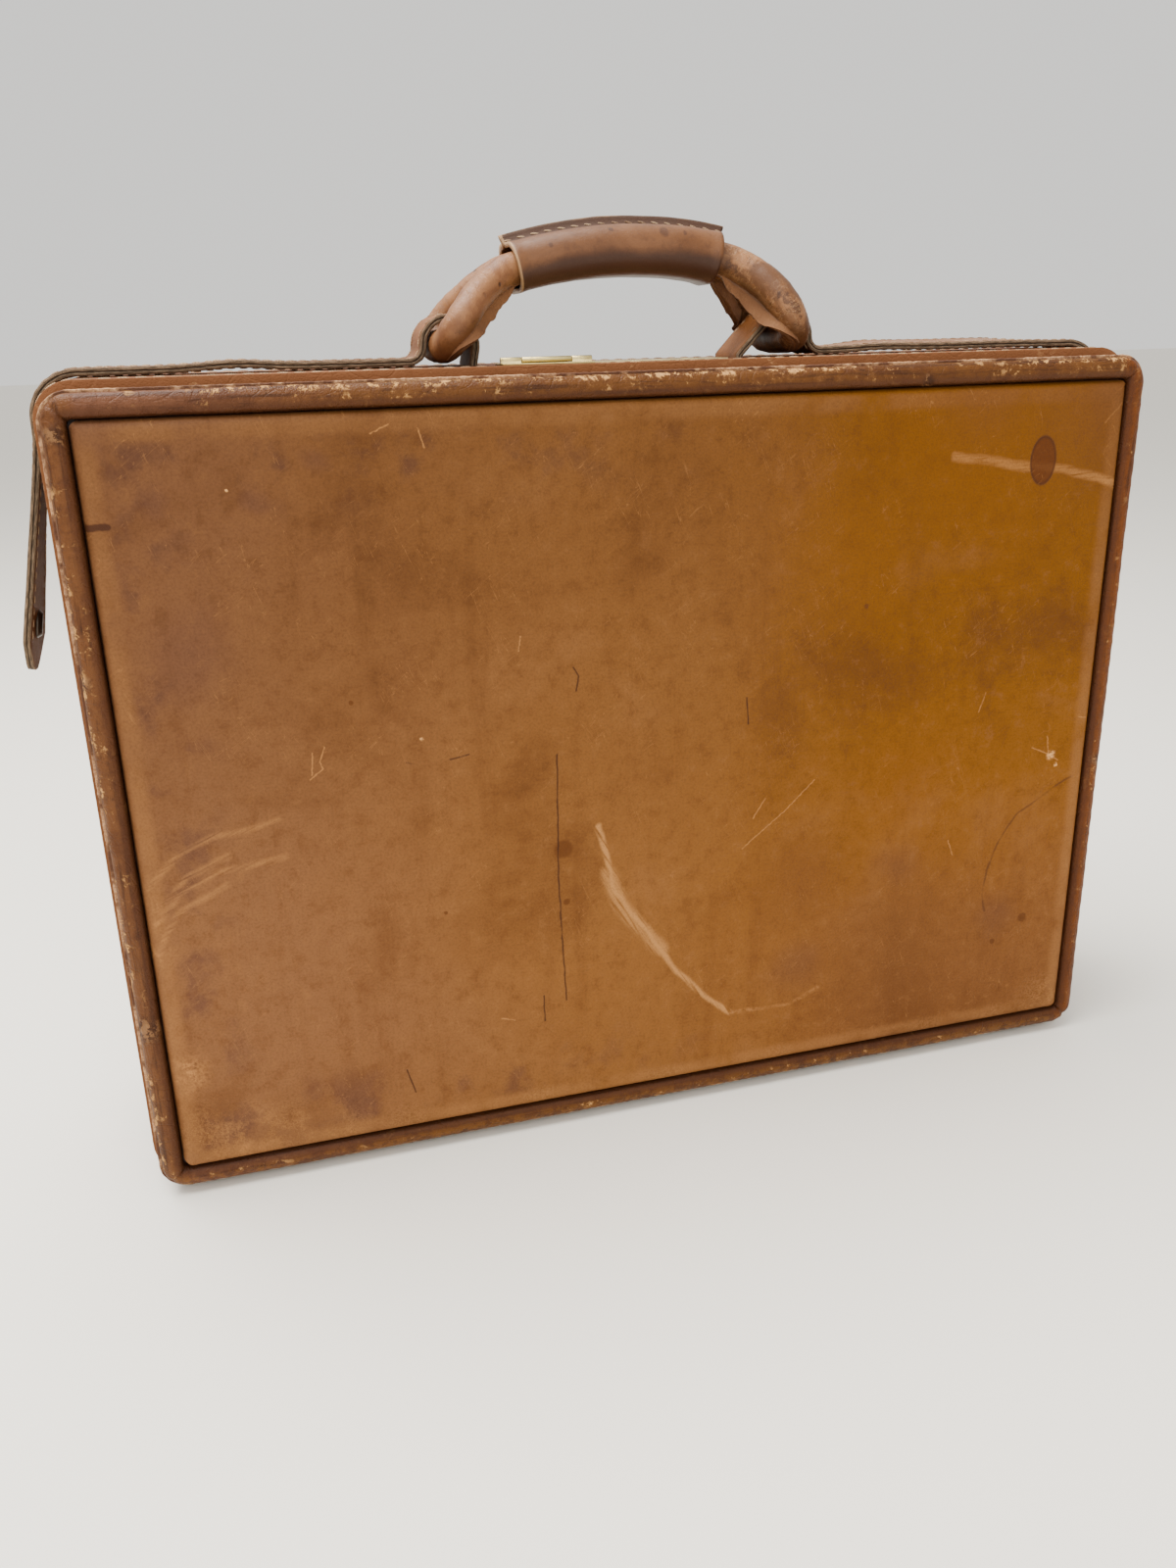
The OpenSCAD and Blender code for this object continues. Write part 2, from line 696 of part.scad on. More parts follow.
module hang_tail(lean) {
    translate([tail_x, 0, tail_z]) rotate([0, -lean, 0]) children();
}

module strap_tail() {
    difference() {
        union() {
            rotate([90, 0, 0]) cylinder(r = strap_t / 2, h = strap_w, center = true);
            rotate([0, 90, 0]) linear_extrude(strap_t, center = true) polygon([[0, -strap_w / 2],
                [tail_l - tail_point, -strap_w / 2], [tail_l, -2], [tail_l, 2],
                [tail_l - tail_point, strap_w / 2], [0, strap_w / 2]]);
        }
        translate([0, 0, -snap_drop]) rotate([0, 90, 0]) cylinder(r = 2.1, h = 20, center = true);
    }
}

module snap_socket() {
    translate([0, 0, -snap_drop]) rotate([0, 90, 0]) difference() {
        union() {
            translate([0, 0, -strap_t / 2 - snap_rise]) cylinder(r = snap_r, h = snap_rise);
            translate([0, 0, -strap_t / 2 - 0.5]) cylinder(r = 2, h = strap_t + 1);
            translate([0, 0, strap_t / 2]) cylinder(r = snap_r + 0.4, h = snap_cap_t);
        }
        translate([0, 0, -strap_t / 2 - snap_rise - 1]) cylinder(r = 2.9, h = snap_rise + 0.6);
    }
}

module snap_stud() {
    translate([band_half_w, 0, stud_z]) rotate([0, 90, 0]) {
        cylinder(r = snap_r - 0.5, h = stud_base_t);
        cylinder(r = 2.1, h = stud_base_t + 2.2);
    }
}

module right_strap_tail() { color(leather_strap) hang_tail(fastened_lean) strap_tail(); }

module left_strap_tail() { color(leather_strap) mirror([1, 0, 0]) hang_tail(left_lean) strap_tail(); }

module right_snap_socket() { color([0.2, 0.18, 0.16]) hang_tail(fastened_lean) snap_socket(); }

module left_snap_socket() {
    color([0.2, 0.18, 0.16]) mirror([1, 0, 0]) hang_tail(left_lean) snap_socket();
}

module right_snap_stud() { color([0.2, 0.18, 0.16]) snap_stud(); }

module left_snap_stud() { color([0.2, 0.18, 0.16]) mirror([1, 0, 0]) snap_stud(); }

// Lid

module lid_frame() {
    color(wood) difference() {
        in_lid() shell_frame(lid_d);
        hinge_room();
        screw_holes(hasp_screw_places(), 5.4);
    }
}

module lid_band_leather() {
    color(leather_red) difference() {
        in_lid() shell_band(lid_d);
        hinge_room();
        screw_holes(hasp_screw_places(), 5.4);
    }
}

module front_binding() { color(leather_red) in_lid() shell_binding(lid_d); }

module front_board() { color(wood) in_lid() shell_board(lid_d); }

module front_panel() { color(leather_tan) in_lid() shell_panel(lid_d); }

module lid_lining() { color(cloth) in_lid() shell_lining(lid_d); }

module lid_hinge_leaf() { color(brass) hinge_leaf(1, -1); }

// A flat pocket with closed sides and an open top
module document_pocket() {
    back_y = -case_d / 2 + floor_t;
    base_z = mid_z - room_h / 2 + 6;
    color(leather_tan) difference() {
        translate([-pocket_w / 2, back_y, base_z]) cube([pocket_w, pocket_gap + leather_t, pocket_h]);
        translate([-pocket_w / 2 + 3, back_y - 1, base_z + 3])
            cube([pocket_w - 6, pocket_gap + 1, pocket_h]);
    }
}

module pen_loops() {
    back_y = -case_d / 2 + floor_t;
    loop_z = mid_z + room_h / 2 - pen_loop_drop;
    loop_t = 1.4;
    margin = 4;
    middle_x = -20;
    tab_w = 2 * pen_loop_pitch + 60;
    places = [for (i = [-1:1]) middle_x + i * pen_loop_pitch];
    color(leather_tan) difference() {
        union() {
            translate([middle_x - tab_w / 2, back_y, loop_z - margin])
                cube([tab_w, loop_t, pen_loop_w + 2 * margin]);
            for (x = places) translate([x, back_y + pen_loop_r + loop_t, loop_z])
                cylinder(r = pen_loop_r + loop_t, h = pen_loop_w);
        }
        for (x = places) translate([x, back_y + pen_loop_r + loop_t, loop_z - margin - 1])
            cylinder(r = pen_loop_r, h = pen_loop_w + 2 * margin + 2);
    }
}

// Stays

module stay_arm(from, to, x, hole_r) {
    reach = to - from;
    length = norm(reach);
    translate([x, from[0] + parting_y, from[1] + hinge_z])
        rotate([atan2(reach[1], reach[0]), 0, 0]) difference() {
            union() {
                translate([0, 0, -stay_w / 2]) cube([stay_t, length, stay_w]);
                for (y = [0, length]) translate([0, y, 0]) rotate([0, 90, 0])
                    cylinder(r = stay_w / 2, h = stay_t);
            }
            translate([-1, 0, 0]) rotate([0, 90, 0]) cylinder(r = stay_rivet_r + pin_fit, h = stay_t + 2);
            translate([-1, length, 0]) rotate([0, 90, 0]) cylinder(r = hole_r, h = stay_t + 2);
        }
}

// The arm that turns on the body ends in the elbow's rivet, and its partner in a hole
module body_stay() {
    stay_arm([body_stay_y, body_stay_z], elbow, body_stay_x, 0.01);
    translate([body_stay_x - 1, elbow[0] + parting_y, elbow[1] + hinge_z]) rotate([0, 90, 0])
        cylinder(r = stay_rivet_r + 1, h = 1.2);
}

module lid_stay() {
    stay_arm([-lid_stay_y, lid_stay_z], elbow, lid_stay_x, stay_rivet_r + gap);
}

module stay_rivet(y, z, x) {
    translate([x - 1.4, y + parting_y, z + hinge_z]) rotate([0, 90, 0]) {
        cylinder(r = stay_rivet_r + 1.5, h = 1.1);
        cylinder(r = stay_rivet_r, h = room_w / 2 - x + 1.4);
        translate([0, 0, stay_t + 1.7]) cylinder(r = stay_rivet_r + 1.5, h = room_w / 2 - x - stay_t - 0.3);
    }
}

module both_sides() {
    children();
    mirror([1, 0, 0]) children();
}

module body_stay_rivets() {
    color(brass) both_sides() stay_rivet(body_stay_y, body_stay_z, body_stay_x);
}

module lid_stay_rivets() {
    color(brass) both_sides() stay_rivet(-lid_stay_y, lid_stay_z, lid_stay_x);
}

module right_body_stay() { color(brass) body_stay(); }

module right_lid_stay() { color(brass) lid_stay(); }

module left_body_stay() { color(brass) mirror([1, 0, 0]) body_stay(); }

module left_lid_stay() { color(brass) mirror([1, 0, 0]) lid_stay(); }

body_frame();
body_band_leather();
rear_binding();
rear_board();
rear_panel();
body_lining();
closing_lip();
body_hinge_leaf();
hinge_pin();
lock_case();
lock_plate();
lock_screws();
dial_axle();
left_handle_strap();
right_handle_strap();
left_snap_stud();
right_snap_stud();
body_stay_rivets();
lid_frame();
lid_band_leather();
front_binding();
front_board();
front_panel();
lid_lining();
lid_hinge_leaf();
hasp_plate();
hasp_pin();
hasp_screws();
lid_stay_rivets();
document_pocket();
pen_loops();
handle_roll();
handle_grip();
left_strap_tail();
left_snap_socket();
right_strap_tail();
right_snap_socket();
dial_1();
dial_2();
dial_3();
release_button();
hasp_tongue();
left_body_stay();
left_lid_stay();
right_body_stay();
right_lid_stay();
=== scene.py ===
import math

import bmesh
import bpy
from mathutils import Matrix, Vector, noise


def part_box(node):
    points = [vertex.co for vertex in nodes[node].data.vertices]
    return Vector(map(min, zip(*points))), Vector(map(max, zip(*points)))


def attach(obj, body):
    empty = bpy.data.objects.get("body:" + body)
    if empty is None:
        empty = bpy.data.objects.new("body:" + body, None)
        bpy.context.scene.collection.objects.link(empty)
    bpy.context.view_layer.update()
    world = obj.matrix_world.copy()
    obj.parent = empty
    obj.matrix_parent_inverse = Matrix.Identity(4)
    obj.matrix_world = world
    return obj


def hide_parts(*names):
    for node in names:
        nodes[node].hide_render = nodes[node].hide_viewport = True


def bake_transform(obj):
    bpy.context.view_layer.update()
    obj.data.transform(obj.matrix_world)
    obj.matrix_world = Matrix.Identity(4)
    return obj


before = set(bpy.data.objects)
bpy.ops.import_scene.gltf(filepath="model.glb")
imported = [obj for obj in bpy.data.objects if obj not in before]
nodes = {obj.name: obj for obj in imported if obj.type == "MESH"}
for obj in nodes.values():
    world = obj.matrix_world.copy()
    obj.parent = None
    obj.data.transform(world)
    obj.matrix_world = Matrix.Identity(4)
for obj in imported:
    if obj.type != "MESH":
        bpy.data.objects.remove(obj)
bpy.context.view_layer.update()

mm = 0.001


# Case sizes, read from the frame

def caseSizes():
    bindLow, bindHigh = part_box("front_binding")
    lidLow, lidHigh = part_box("lid_band_leather")
    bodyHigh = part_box("body_band_leather")[1]
    return {
        "halfW": bindHigh.x,
        "halfH": (bindHigh.z - bindLow.z) / 2,
        "midZ": (bindHigh.z + bindLow.z) / 2,
        "frontY": bindLow.y,
        "proud": lidHigh.x - bindHigh.x,
        "lidStep": lidLow.y,
        "parting": lidHigh.y,
        "bodyStep": bodyHigh.y,
        "topZ": lidHigh.z,
        "corner": 11 * mm,
    }


case = caseSizes()


# Camera, floor and light

def makeCamera():
    view = {"place": (-0.17029, -0.54260, 0.35008), "turn": (70.313, 1.385, -16.234), "lens": 28.70}
    data = bpy.data.cameras.new("camera")
    data.lens = view["lens"]
    data.sensor_width = 36
    data.clip_start = 0.02
    camera = bpy.data.objects.new("camera", data)
    camera.location = view["place"]
    camera.rotation_euler = [math.radians(a) for a in view["turn"]]
    bpy.context.scene.collection.objects.link(camera)
    bpy.context.scene.camera = camera


def makeLight(name, place, aim, size, power, tint):
    data = bpy.data.lights.new(name, "AREA")
    data.shape = "RECTANGLE"
    data.size, data.size_y = size
    data.energy = power
    data.color = tint
    light = bpy.data.objects.new(name, data)
    light.location = place
    light.rotation_euler = (Vector(aim) - Vector(place)).to_track_quat("-Z", "Y").to_euler()
    bpy.context.scene.collection.objects.link(light)


def makeStudio():
    studio = {"floorSize": 30, "floorPale": (0.88, 0.84, 0.755), "floorGrey": (0.80, 0.78, 0.75),
              "sky": (1.0, 0.985, 0.95), "skyPower": 1.05}
    bm = bmesh.new()
    bmesh.ops.create_grid(bm, x_segments=1, y_segments=1, size=studio["floorSize"] / 2)
    paint = Paint("pale floor")
    speckle = paint.noise(paint.place(), 90, 3)
    paint.base(speckle * 0.05, studio["floorPale"], studio["floorGrey"])
    paint.finish(0.6)
    newPiece("floor", bm, None, None, paint.material)
    world = bpy.data.worlds.new("sky")
    world.use_nodes = True
    sky = world.node_tree.nodes["Background"]
    sky.inputs["Color"].default_value = (*studio["sky"], 1)
    sky.inputs["Strength"].default_value = studio["skyPower"]
    bpy.context.scene.world = world
    makeLight("window", (-0.5, 0.1, 1.7), (0, 0, 0.15), (1.6, 1.2), 80, (1.0, 0.98, 0.95))
    makeLight("room", (-0.3, -2.1, 1.3), (0, 0, 0.2), (2.4, 1.8), 34, (1.0, 0.985, 0.96))


# Shader helpers

class Wire:
    # A socket that can be used in sums

    def __init__(self, paint, socket):
        self.paint = paint
        self.socket = socket

    def math(self, operation, *others):
        return self.paint.node("ShaderNodeMath", {"operation": operation}, dict(enumerate((self, *others))))

    def __add__(self, other):
        return self.math("ADD", other)

    def __sub__(self, other):
        return self.math("SUBTRACT", other)

    def __rsub__(self, other):
        return self.paint.node("ShaderNodeMath", {"operation": "SUBTRACT"}, {0: other, 1: self})

    def __mul__(self, other):
        return self.math("MULTIPLY", other)

    def __lt__(self, other):
        return self.math("LESS_THAN", other)

    def __abs__(self):
        return self.math("ABSOLUTE")

    __radd__ = __add__
    __rmul__ = __mul__

    def most(self, other):
        return self.math("MAXIMUM", other)

    def least(self, other):
        return self.math("MINIMUM", other)

    def held(self):
        return self.least(1).most(0)

    # 0 below low and 1 above high, smooth between them; falls instead where low is above high
    def between(self, low, high):
        ends = {1: low, 2: high, 3: 0, 4: 1} if low < high else {1: high, 2: low, 3: 1, 4: 0}
        settings = {"interpolation_type": "SMOOTHSTEP", "clamp": False}
        return self.paint.node("ShaderNodeMapRange", settings, {0: self, **ends})


class Paint:
    # One material: its named colours, its nodes, and the tone that its coats build up

    def __init__(self, name, look=None):
        self.material = bpy.data.materials.new(name)
        self.material.use_nodes = True
        self.tree = self.material.node_tree
        self.tree.nodes.clear()
        self.look = look or {}
        self.tone = None

    def node(self, kind, settings=None, values=None, out=0):
        made = self.tree.nodes.new(kind)
        for key, value in (settings or {}).items():
            setattr(made, key, value)
        for key, value in (values or {}).items():
            socket = made.inputs[key]
            if isinstance(value, Wire):
                self.tree.links.new(value.socket, socket)
            elif socket.type == "RGBA":
                socket.default_value = (*value, 1)
            else:
                socket.default_value = value
        return Wire(self, made.outputs[out]) if len(made.outputs) else None

    def place(self):
        return self.node("ShaderNodeTexCoord", out="Object")

    # Where a point lies on a swept piece: along it, and in its outline
    def local(self):
        return self.node("ShaderNodeAttribute", {"attribute_name": "local"}, out="Vector")

    def parts(self, vector):
        split = self.node("ShaderNodeSeparateXYZ", None, {0: vector})
        return [Wire(self, out) for out in split.socket.node.outputs]

    def vector(self, x, y, z=0):
        return self.node("ShaderNodeCombineXYZ", None, {0: x, 1: y, 2: z})

    def vec(self, operation, a, b, out=0):
        return self.node("ShaderNodeVectorMath", {"operation": operation}, {0: a, 1: b}, out)

    def stretched(self, place, stretch):
        return self.vec("MULTIPLY", place, stretch)

    def noise(self, place, scale, detail=4, rough=0.55, warp=0, out="Fac"):
        values = {"Vector": place, "Scale": scale, "Detail": detail, "Roughness": rough, "Distortion": warp}
        return self.node("ShaderNodeTexNoise", None, values, out)

    def cells(self, place, scale, feature="F1"):
        values = {"Vector": place, "Scale": scale}
        return self.node("ShaderNodeTexVoronoi", {"feature": feature}, values, "Distance")

    # Colours go by their names in the look, or as they are
    def mix(self, share, a, b, blend="MIX"):
        a, b = (self.look[c] if isinstance(c, str) else c for c in (a, b))
        settings = {"data_type": "RGBA", "blend_type": blend}
        return self.node("ShaderNodeMix", settings, {0: share, 6: a, 7: b}, 2)

    def base(self, share, a, b):
        self.tone = self.mix(share, a, b)

    def coat(self, share, colour, blend="MIX"):
        self.tone = self.mix(share, self.tone, colour, blend)

    # A place that wanders by up to half of reach, in metres
    def shaken(self, place, scale, reach):
        drift = self.noise(place, scale, 3, out="Color")
        drift = self.vec("SUBTRACT", drift, (0.5, 0.5, 0.5))
        return self.vec("ADD", place, self.vec("MULTIPLY", drift, (reach, reach, reach)))

    # Distance to a straight line between two points
    def toLine(self, place, a, b):
        reach = Vector(b) - Vector(a)
        away = self.vec("SUBTRACT", place, tuple(a))
        share = self.vec("DOT_PRODUCT", away, tuple(reach / reach.length_squared), "Value").held()
        foot = self.node("ShaderNodeVectorMath", {"operation": "SCALE"}, {0: tuple(reach), "Scale": share})
        return self.vec("DISTANCE", away, foot, "Value")

    # 1 along lines drawn on a face, each a row of (x, z) points in millimetres, and 0 away from them
    def strokes(self, place, lines, width, fade):
        nearest = None
        for line in lines:
            points = [(x * mm, 0, z * mm) for x, z in line]
            for a, b in zip(points, points[1:]):
                distance = self.toLine(place, a, b)
                nearest = nearest.least(distance) if nearest else distance
        return nearest.between((width + fade) * mm, width * mm)

    # 1 inside round spots, each (x, z, radius) in millimetres, and 0 outside
    def spots(self, place, places, fade):
        filled = None
        for x, z, radius in places:
            distance = self.vec("DISTANCE", place, (x * mm, 0, z * mm), "Value")
            spot = distance.between(radius * mm, radius * (1 - fade) * mm)
            filled = filled.most(spot) if filled else spot
        return filled

    def finish(self, rough, height=None, depth=0, strength=1, **fixed):
        values = {"Base Color": self.tone, "Roughness": rough}
        if height:
            bump = {"Height": height, "Distance": depth, "Strength": strength}
            values["Normal"] = self.node("ShaderNodeBump", None, bump, "Normal")
        values.update({key.replace("_", " "): value for key, value in fixed.items()})
        shader = self.node("ShaderNodeBsdfPrincipled", None, values)
        self.node("ShaderNodeOutputMaterial", None, {"Surface": shader})
        return self.material


# Leather finishes

# Pores, creases and the small unevenness of old leather, as one height
def leatherGrain(paint, place, pores, creases):
    pore = paint.cells(place, pores, "F1").between(0.0, 0.65)
    fine = paint.noise(place, pores * 1.7, 3)
    web = paint.cells(paint.shaken(place, creases * 1.5, 0.35 / creases), creases, "DISTANCE_TO_EDGE")
    crease = web.between(0.0, 0.06)
    swell = paint.noise(place, creases * 0.5, 3)
    return pore * 0.28 + fine * 0.22 + crease * 0.3 + swell * 0.35


# The closer grain of leather that hands have polished
def smoothGrain(paint, place):
    pore = paint.cells(place, 1600, "F1").between(0.0, 0.65)
    return pore * 0.16 + paint.noise(place, 2600, 3) * 0.16 + paint.noise(place, 90, 4) * 0.4


def faceLeather(name, marked):
    paint = Paint(name, {"left": (0.176, 0.074, 0.027), "middle": (0.188, 0.074, 0.015),
        "right": (0.186, 0.064, 0.002), "deep": (0.080, 0.024, 0.003), "plum": (0.064, 0.026, 0.019),
        "pale": (0.40, 0.180, 0.056), "light": (0.260, 0.112, 0.034), "dark": (0.034, 0.011, 0.005),
        "hide": (0.64, 0.33, 0.12), "rose": (0.142, 0.054, 0.016), "shade": (0.62, 0.60, 0.62),
        "glow": (0.150, 0.049, 0.002), "dusk": (0.118, 0.042, 0.008), "graze": (0.42, 0.200, 0.066),
        "pressed": (0.070, 0.018, 0.002)})
    place = paint.place()
    x, _, z = paint.parts(place)
    flat = paint.vector(x, 0, z)
    drift = paint.noise(flat, 6, 4, 0.55) - 0.5
    across = x + drift * 0.20
    paint.base(across.between(-0.20, -0.03), "left", "middle")
    paint.coat(across.between(-0.03, 0.14), "right")
    paint.coat((z + drift * 0.12).between(0.150, 0.045) * across.between(0.0, 0.12) * 0.75, "rose")
    cloud = paint.noise(flat, 13, 5, 0.6, 0.5)
    paint.coat(cloud.between(0.50, 0.70) * 0.46, "deep")
    paint.coat(cloud.between(0.46, 0.28) * 0.30, "light")
    mottle = paint.noise(flat, 120, 6, 0.75)
    paint.coat(mottle.between(0.48, 0.66) * 0.34, "deep")
    paint.coat(mottle.between(0.46, 0.34) * 0.26, "light")
    streak = paint.noise(paint.stretched(flat, (70, 1, 7)), 1, 5, 0.65)
    paint.coat(streak.between(0.50, 0.72) * 0.22, "deep")
    halfW, halfH = case["halfW"] - padded["inset"], case["halfH"] - padded["inset"]
    inside = (halfW - abs(x)).least(halfH - abs(z - case["midZ"]))
    patch = paint.noise(flat, 38, 4, 0.6)
    # A lighter band along the rolled rim, in patches: partly rubbed wear, partly painted highlight where the
    # roll catches the light
    strip = inside.between(0.0010, 0.0035) * inside.between(0.0105, 0.0060)
    paint.coat(strip * patch.between(0.30, 0.55) * 0.50, "light")
    # Plum patches near the rim, more towards the left: painted shade with a cool sky tint
    darkPatch = inside.between(0.006, 0.012) * inside.between(0.045, 0.016) * patch.between(0.48, 0.64)
    paint.coat(darkPatch * x.between(0.10, -0.12) * 0.55, "plum")
    # Darkest right at the rim, where the face meets the groove: painted shade
    paint.coat(inside.between(0.0009, 0.0001) * 0.60, "dark")
    # Painted shade: the face grows darker towards the top
    paint.coat(0.08 + (z + drift * 0.16).between(0.060, 0.320) * 0.80, "shade", "MULTIPLY")
    height = leatherGrain(paint, place, 1500, 75)
    rough = 0.50 + mottle * 0.14
    if marked:
        height = faceWear(paint, flat, height)
    else:
        shaken = paint.shaken(flat, 60, 0.004)
        lines = [[(-150, 90), (-40, 62), (60, 71)], [(30, 250), (90, 210)], [(-90, 270), (-60, 255)],
                 [(120, 130), (150, 60)], [(-180, 200), (-176, 150)]]
        worn = paint.strokes(shaken, lines, 0.3, 0.8) * paint.noise(flat, 240, 4).between(0.36, 0.6)
        paint.coat(worn * 0.45, "pale")
    for run, rise in ((0.80, 0.60), (0.34, -0.94)):
        hair = paint.noise(paint.vector((x * run + z * rise) * 26, 0, (z * run - x * rise) * 300), 1, 2, 0.5)
        share = abs(hair - 0.56).between(0.0045, 0.0005) * patch.between(0.46, 0.60)
        paint.coat(share * 0.26, "pale")
    nap = paint.noise(flat, 1000, 2)
    paint.coat(nap.between(0.4, 0.7) * 0.22, "dark")
    return paint.finish(rough, height, 0.00045, 0.55, Specular_IOR_Level=0.10)


# Scratches, stains and scuffs of the front face, where the photograph shows them
def faceWear(paint, flat, height):
    cuts = [[(-46.3, 184), (-47.4, 125), (-45.7, 66)], [(40, 200), (41, 188)],
            [(-38, 221), (-36, 217), (-37, 211)], [(-56, 70), (-56, 57)], [(-92, 187), (-84, 188)],
            [(-120, 44), (-117, 32)], [(-112, 188), (-107, 187)]]
    arcRight = [[(218, 146), (202, 138), (184.5, 127), (173, 112), (168, 98), (167, 86), (170, 77)]]
    scrapes = [[(-28.5, 149), (-25, 134), (-22.8, 119), (-16, 108), (-4, 90), (7.4, 72), (22, 56),
                (34.7, 45)]]
    fan = [[(-25, 126), (-19, 110), (-10, 97), (0, 84)]]
    tail = [[(34.7, 45), (52, 44), (66, 44), (80, 50)]]
    arcs = [[(-216.5, 148), (-205, 158), (-190, 165), (-163, 169)],
            [(-215, 130), (-204, 143), (-190, 150), (-162.5, 153)], [(-217, 118), (-206, 134), (-186, 144)],
            [(-214, 137), (-200, 150), (-184, 157)]]
    threads = [[(-142, 198), (-144.5, 192), (-143.5, 189), (-149, 185)], [(-147, 196), (-148, 187)],
               [(74, 158), (60, 145), (39, 129)], [(50, 152), (44, 143)], [(188, 160), (197, 156)],
               [(196, 165), (198, 153)], [(203, 152), (197, 156)], [(212, 173), (217, 172)],
               [(-114, 318), (-107, 321)], [(-96, 319), (-94, 312)], [(217, 317), (209, 309)],
               [(-76, 62), (-70, 60)], [(146, 118), (149, 110)], [(160, 190), (157, 181)],
               [(-60, 236), (-61, 230)]]
    belt = [[(135, 297), (152, 295), (169.5, 292), (190, 290), (206, 286), (221, 281)]]
    shaken = paint.shaken(flat, 45, 0.005)
    fray = paint.shaken(flat, 500, 0.0012)
    worn = paint.noise(flat, 420, 4, 0.7).between(0.36, 0.60)
    broken = paint.noise(flat, 60, 4, 0.65)
    x, _, z = paint.parts(flat)
    down = paint.vector((x * 0.50 - z * 0.87) * 34, 0, (x * 0.87 + z * 0.50) * 620)
    up = paint.vector((x * 0.92 + z * 0.38) * 26, 0, (z * 0.92 - x * 0.38) * 560)
    falling, climbing = (paint.noise(way, 1, 4, 0.65) for way in (down, up))
    core = paint.strokes(shaken, scrapes, 0.5, 1.7) * falling.between(0.32, 0.50)
    wide = paint.strokes(shaken, fan, 1.6, 3.6) * falling.between(0.36, 0.56)
    scrape = core.most(wide * 0.75) * broken.between(0.22, 0.40)
    faint = paint.strokes(shaken, tail, 0.2, 1.6) * worn * broken.between(0.38, 0.56)
    arc = paint.strokes(shaken, arcs, 0.2, 2.2) * climbing.between(0.38, 0.56)
    thread = paint.strokes(fray, threads, 0.08, 0.36) * broken.between(0.30, 0.46)
    brushed = paint.noise(paint.stretched(flat, (90, 1, 900)), 1, 4, 0.7)
    band = paint.strokes(shaken, belt, 0.8, 2.2) * brushed.between(0.28, 0.56)
    paint.coat(arc * 0.34, "pale")
    paint.coat(scrape * 0.74, "graze")
    paint.coat(faint * 0.45, "pale")
    paint.coat(band * 0.70, "pale")
    paint.coat(thread * 0.60, "pale")
    cloud = paint.spots(paint.shaken(flat, 22, 0.026), [(-137.6, 307, 8), (-158, 294, 6), (-212, 326, 16),
        (-196, 296, 9), (214, 322, 20), (66, 62, 20), (-190, 240, 26), (176, 76, 16), (120, 110, 18)], 0.9)
    paint.coat(cloud * 0.30, "plum")
    glow = paint.spots(shaken, [(150, 300, 95), (90, 262, 60), (120, 150, 40)], 1.0)
    paint.coat(glow * 0.45, "glow")
    dusk = paint.spots(shaken, [(206, 318, 62), (150, 326, 40), (120, 70, 60), (70, 110, 40)], 1.0)
    paint.coat(dusk * 0.55, "dusk")
    crackle = abs(paint.noise(flat, 280, 6, 0.80) - 0.5).between(0.034, 0.010)
    margin = paint.spots(shaken, [(-207, 26, 30), (-175, 22, 26), (-150, 16, 20), (-120, 14, 20),
        (-60, 12, 18), (206, 20, 22), (180, 13, 14), (140, 12, 14), (60, 12, 14), (0, 12, 16)], 1.0)
    paint.coat(margin * crackle * broken.between(0.38, 0.50) * 0.50, "pale")
    scuff = paint.spots(shaken, [(-190, 27, 20), (-160, 26, 16), (-212, 60, 14), (-216, 122, 14),
        (214, 22, 12)], 1.0)
    paint.coat(scuff * worn * broken.between(0.42, 0.58) * 0.75, "pale")
    stain = paint.spots(paint.shaken(flat, 150, 0.0015), [(-44.7, 140.4, 5.0), (-44.2, 115, 1.8),
        (176, 59, 1.8), (192, 70, 2.8), (-130, 215, 1.2), (96, 236, 1.3), (-98, 118, 1.0)], 0.35)
    paint.coat(stain * 0.80, "deep")
    chalk = paint.spots(fray, [(-103, 197, 1.1), (199, 155, 3.2), (-168, 300, 0.8), (202, 150, 1.6)], 0.6)
    paint.coat(chalk * worn * 0.9, "hide")
    dash = paint.strokes(paint.shaken(flat, 200, 0.002), [[(-219, 289), (-211, 289.5)]], 0.9, 0.8)
    # The crease on the right is drawn only as a dark line of painted shade along its fold
    crease = paint.strokes(shaken, arcRight, 0.10, 0.9)
    cut = paint.strokes(paint.shaken(flat, 120, 0.0015), cuts, 0.12, 0.42) * broken.between(0.28, 0.44)
    paint.coat(cut.most(dash) * 0.85, "dark")
    paint.coat(crease * 0.55, "dark")
    # A plain pressed oval near the upper right corner
    oval = {"x": 179, "z": 294, "wide": 6.4, "tall": 10.4}
    stretched = paint.vec("MULTIPLY", paint.vec("SUBTRACT", flat, (oval["x"] * mm, 0, oval["z"] * mm)),
        (1 / (oval["wide"] * mm), 1, 1 / (oval["tall"] * mm)))
    reach = paint.vec("LENGTH", stretched, (0, 0, 0), "Value")
    pressed = reach.between(1.03, 0.96)
    rim = reach.between(0.82, 0.98) * reach.between(1.10, 0.98)
    paint.coat(pressed * 0.85, "pressed")
    paint.coat(rim * 0.55, "dark")
    return height - cut * 0.9 - pressed * 0.9 - margin * crackle * 0.5


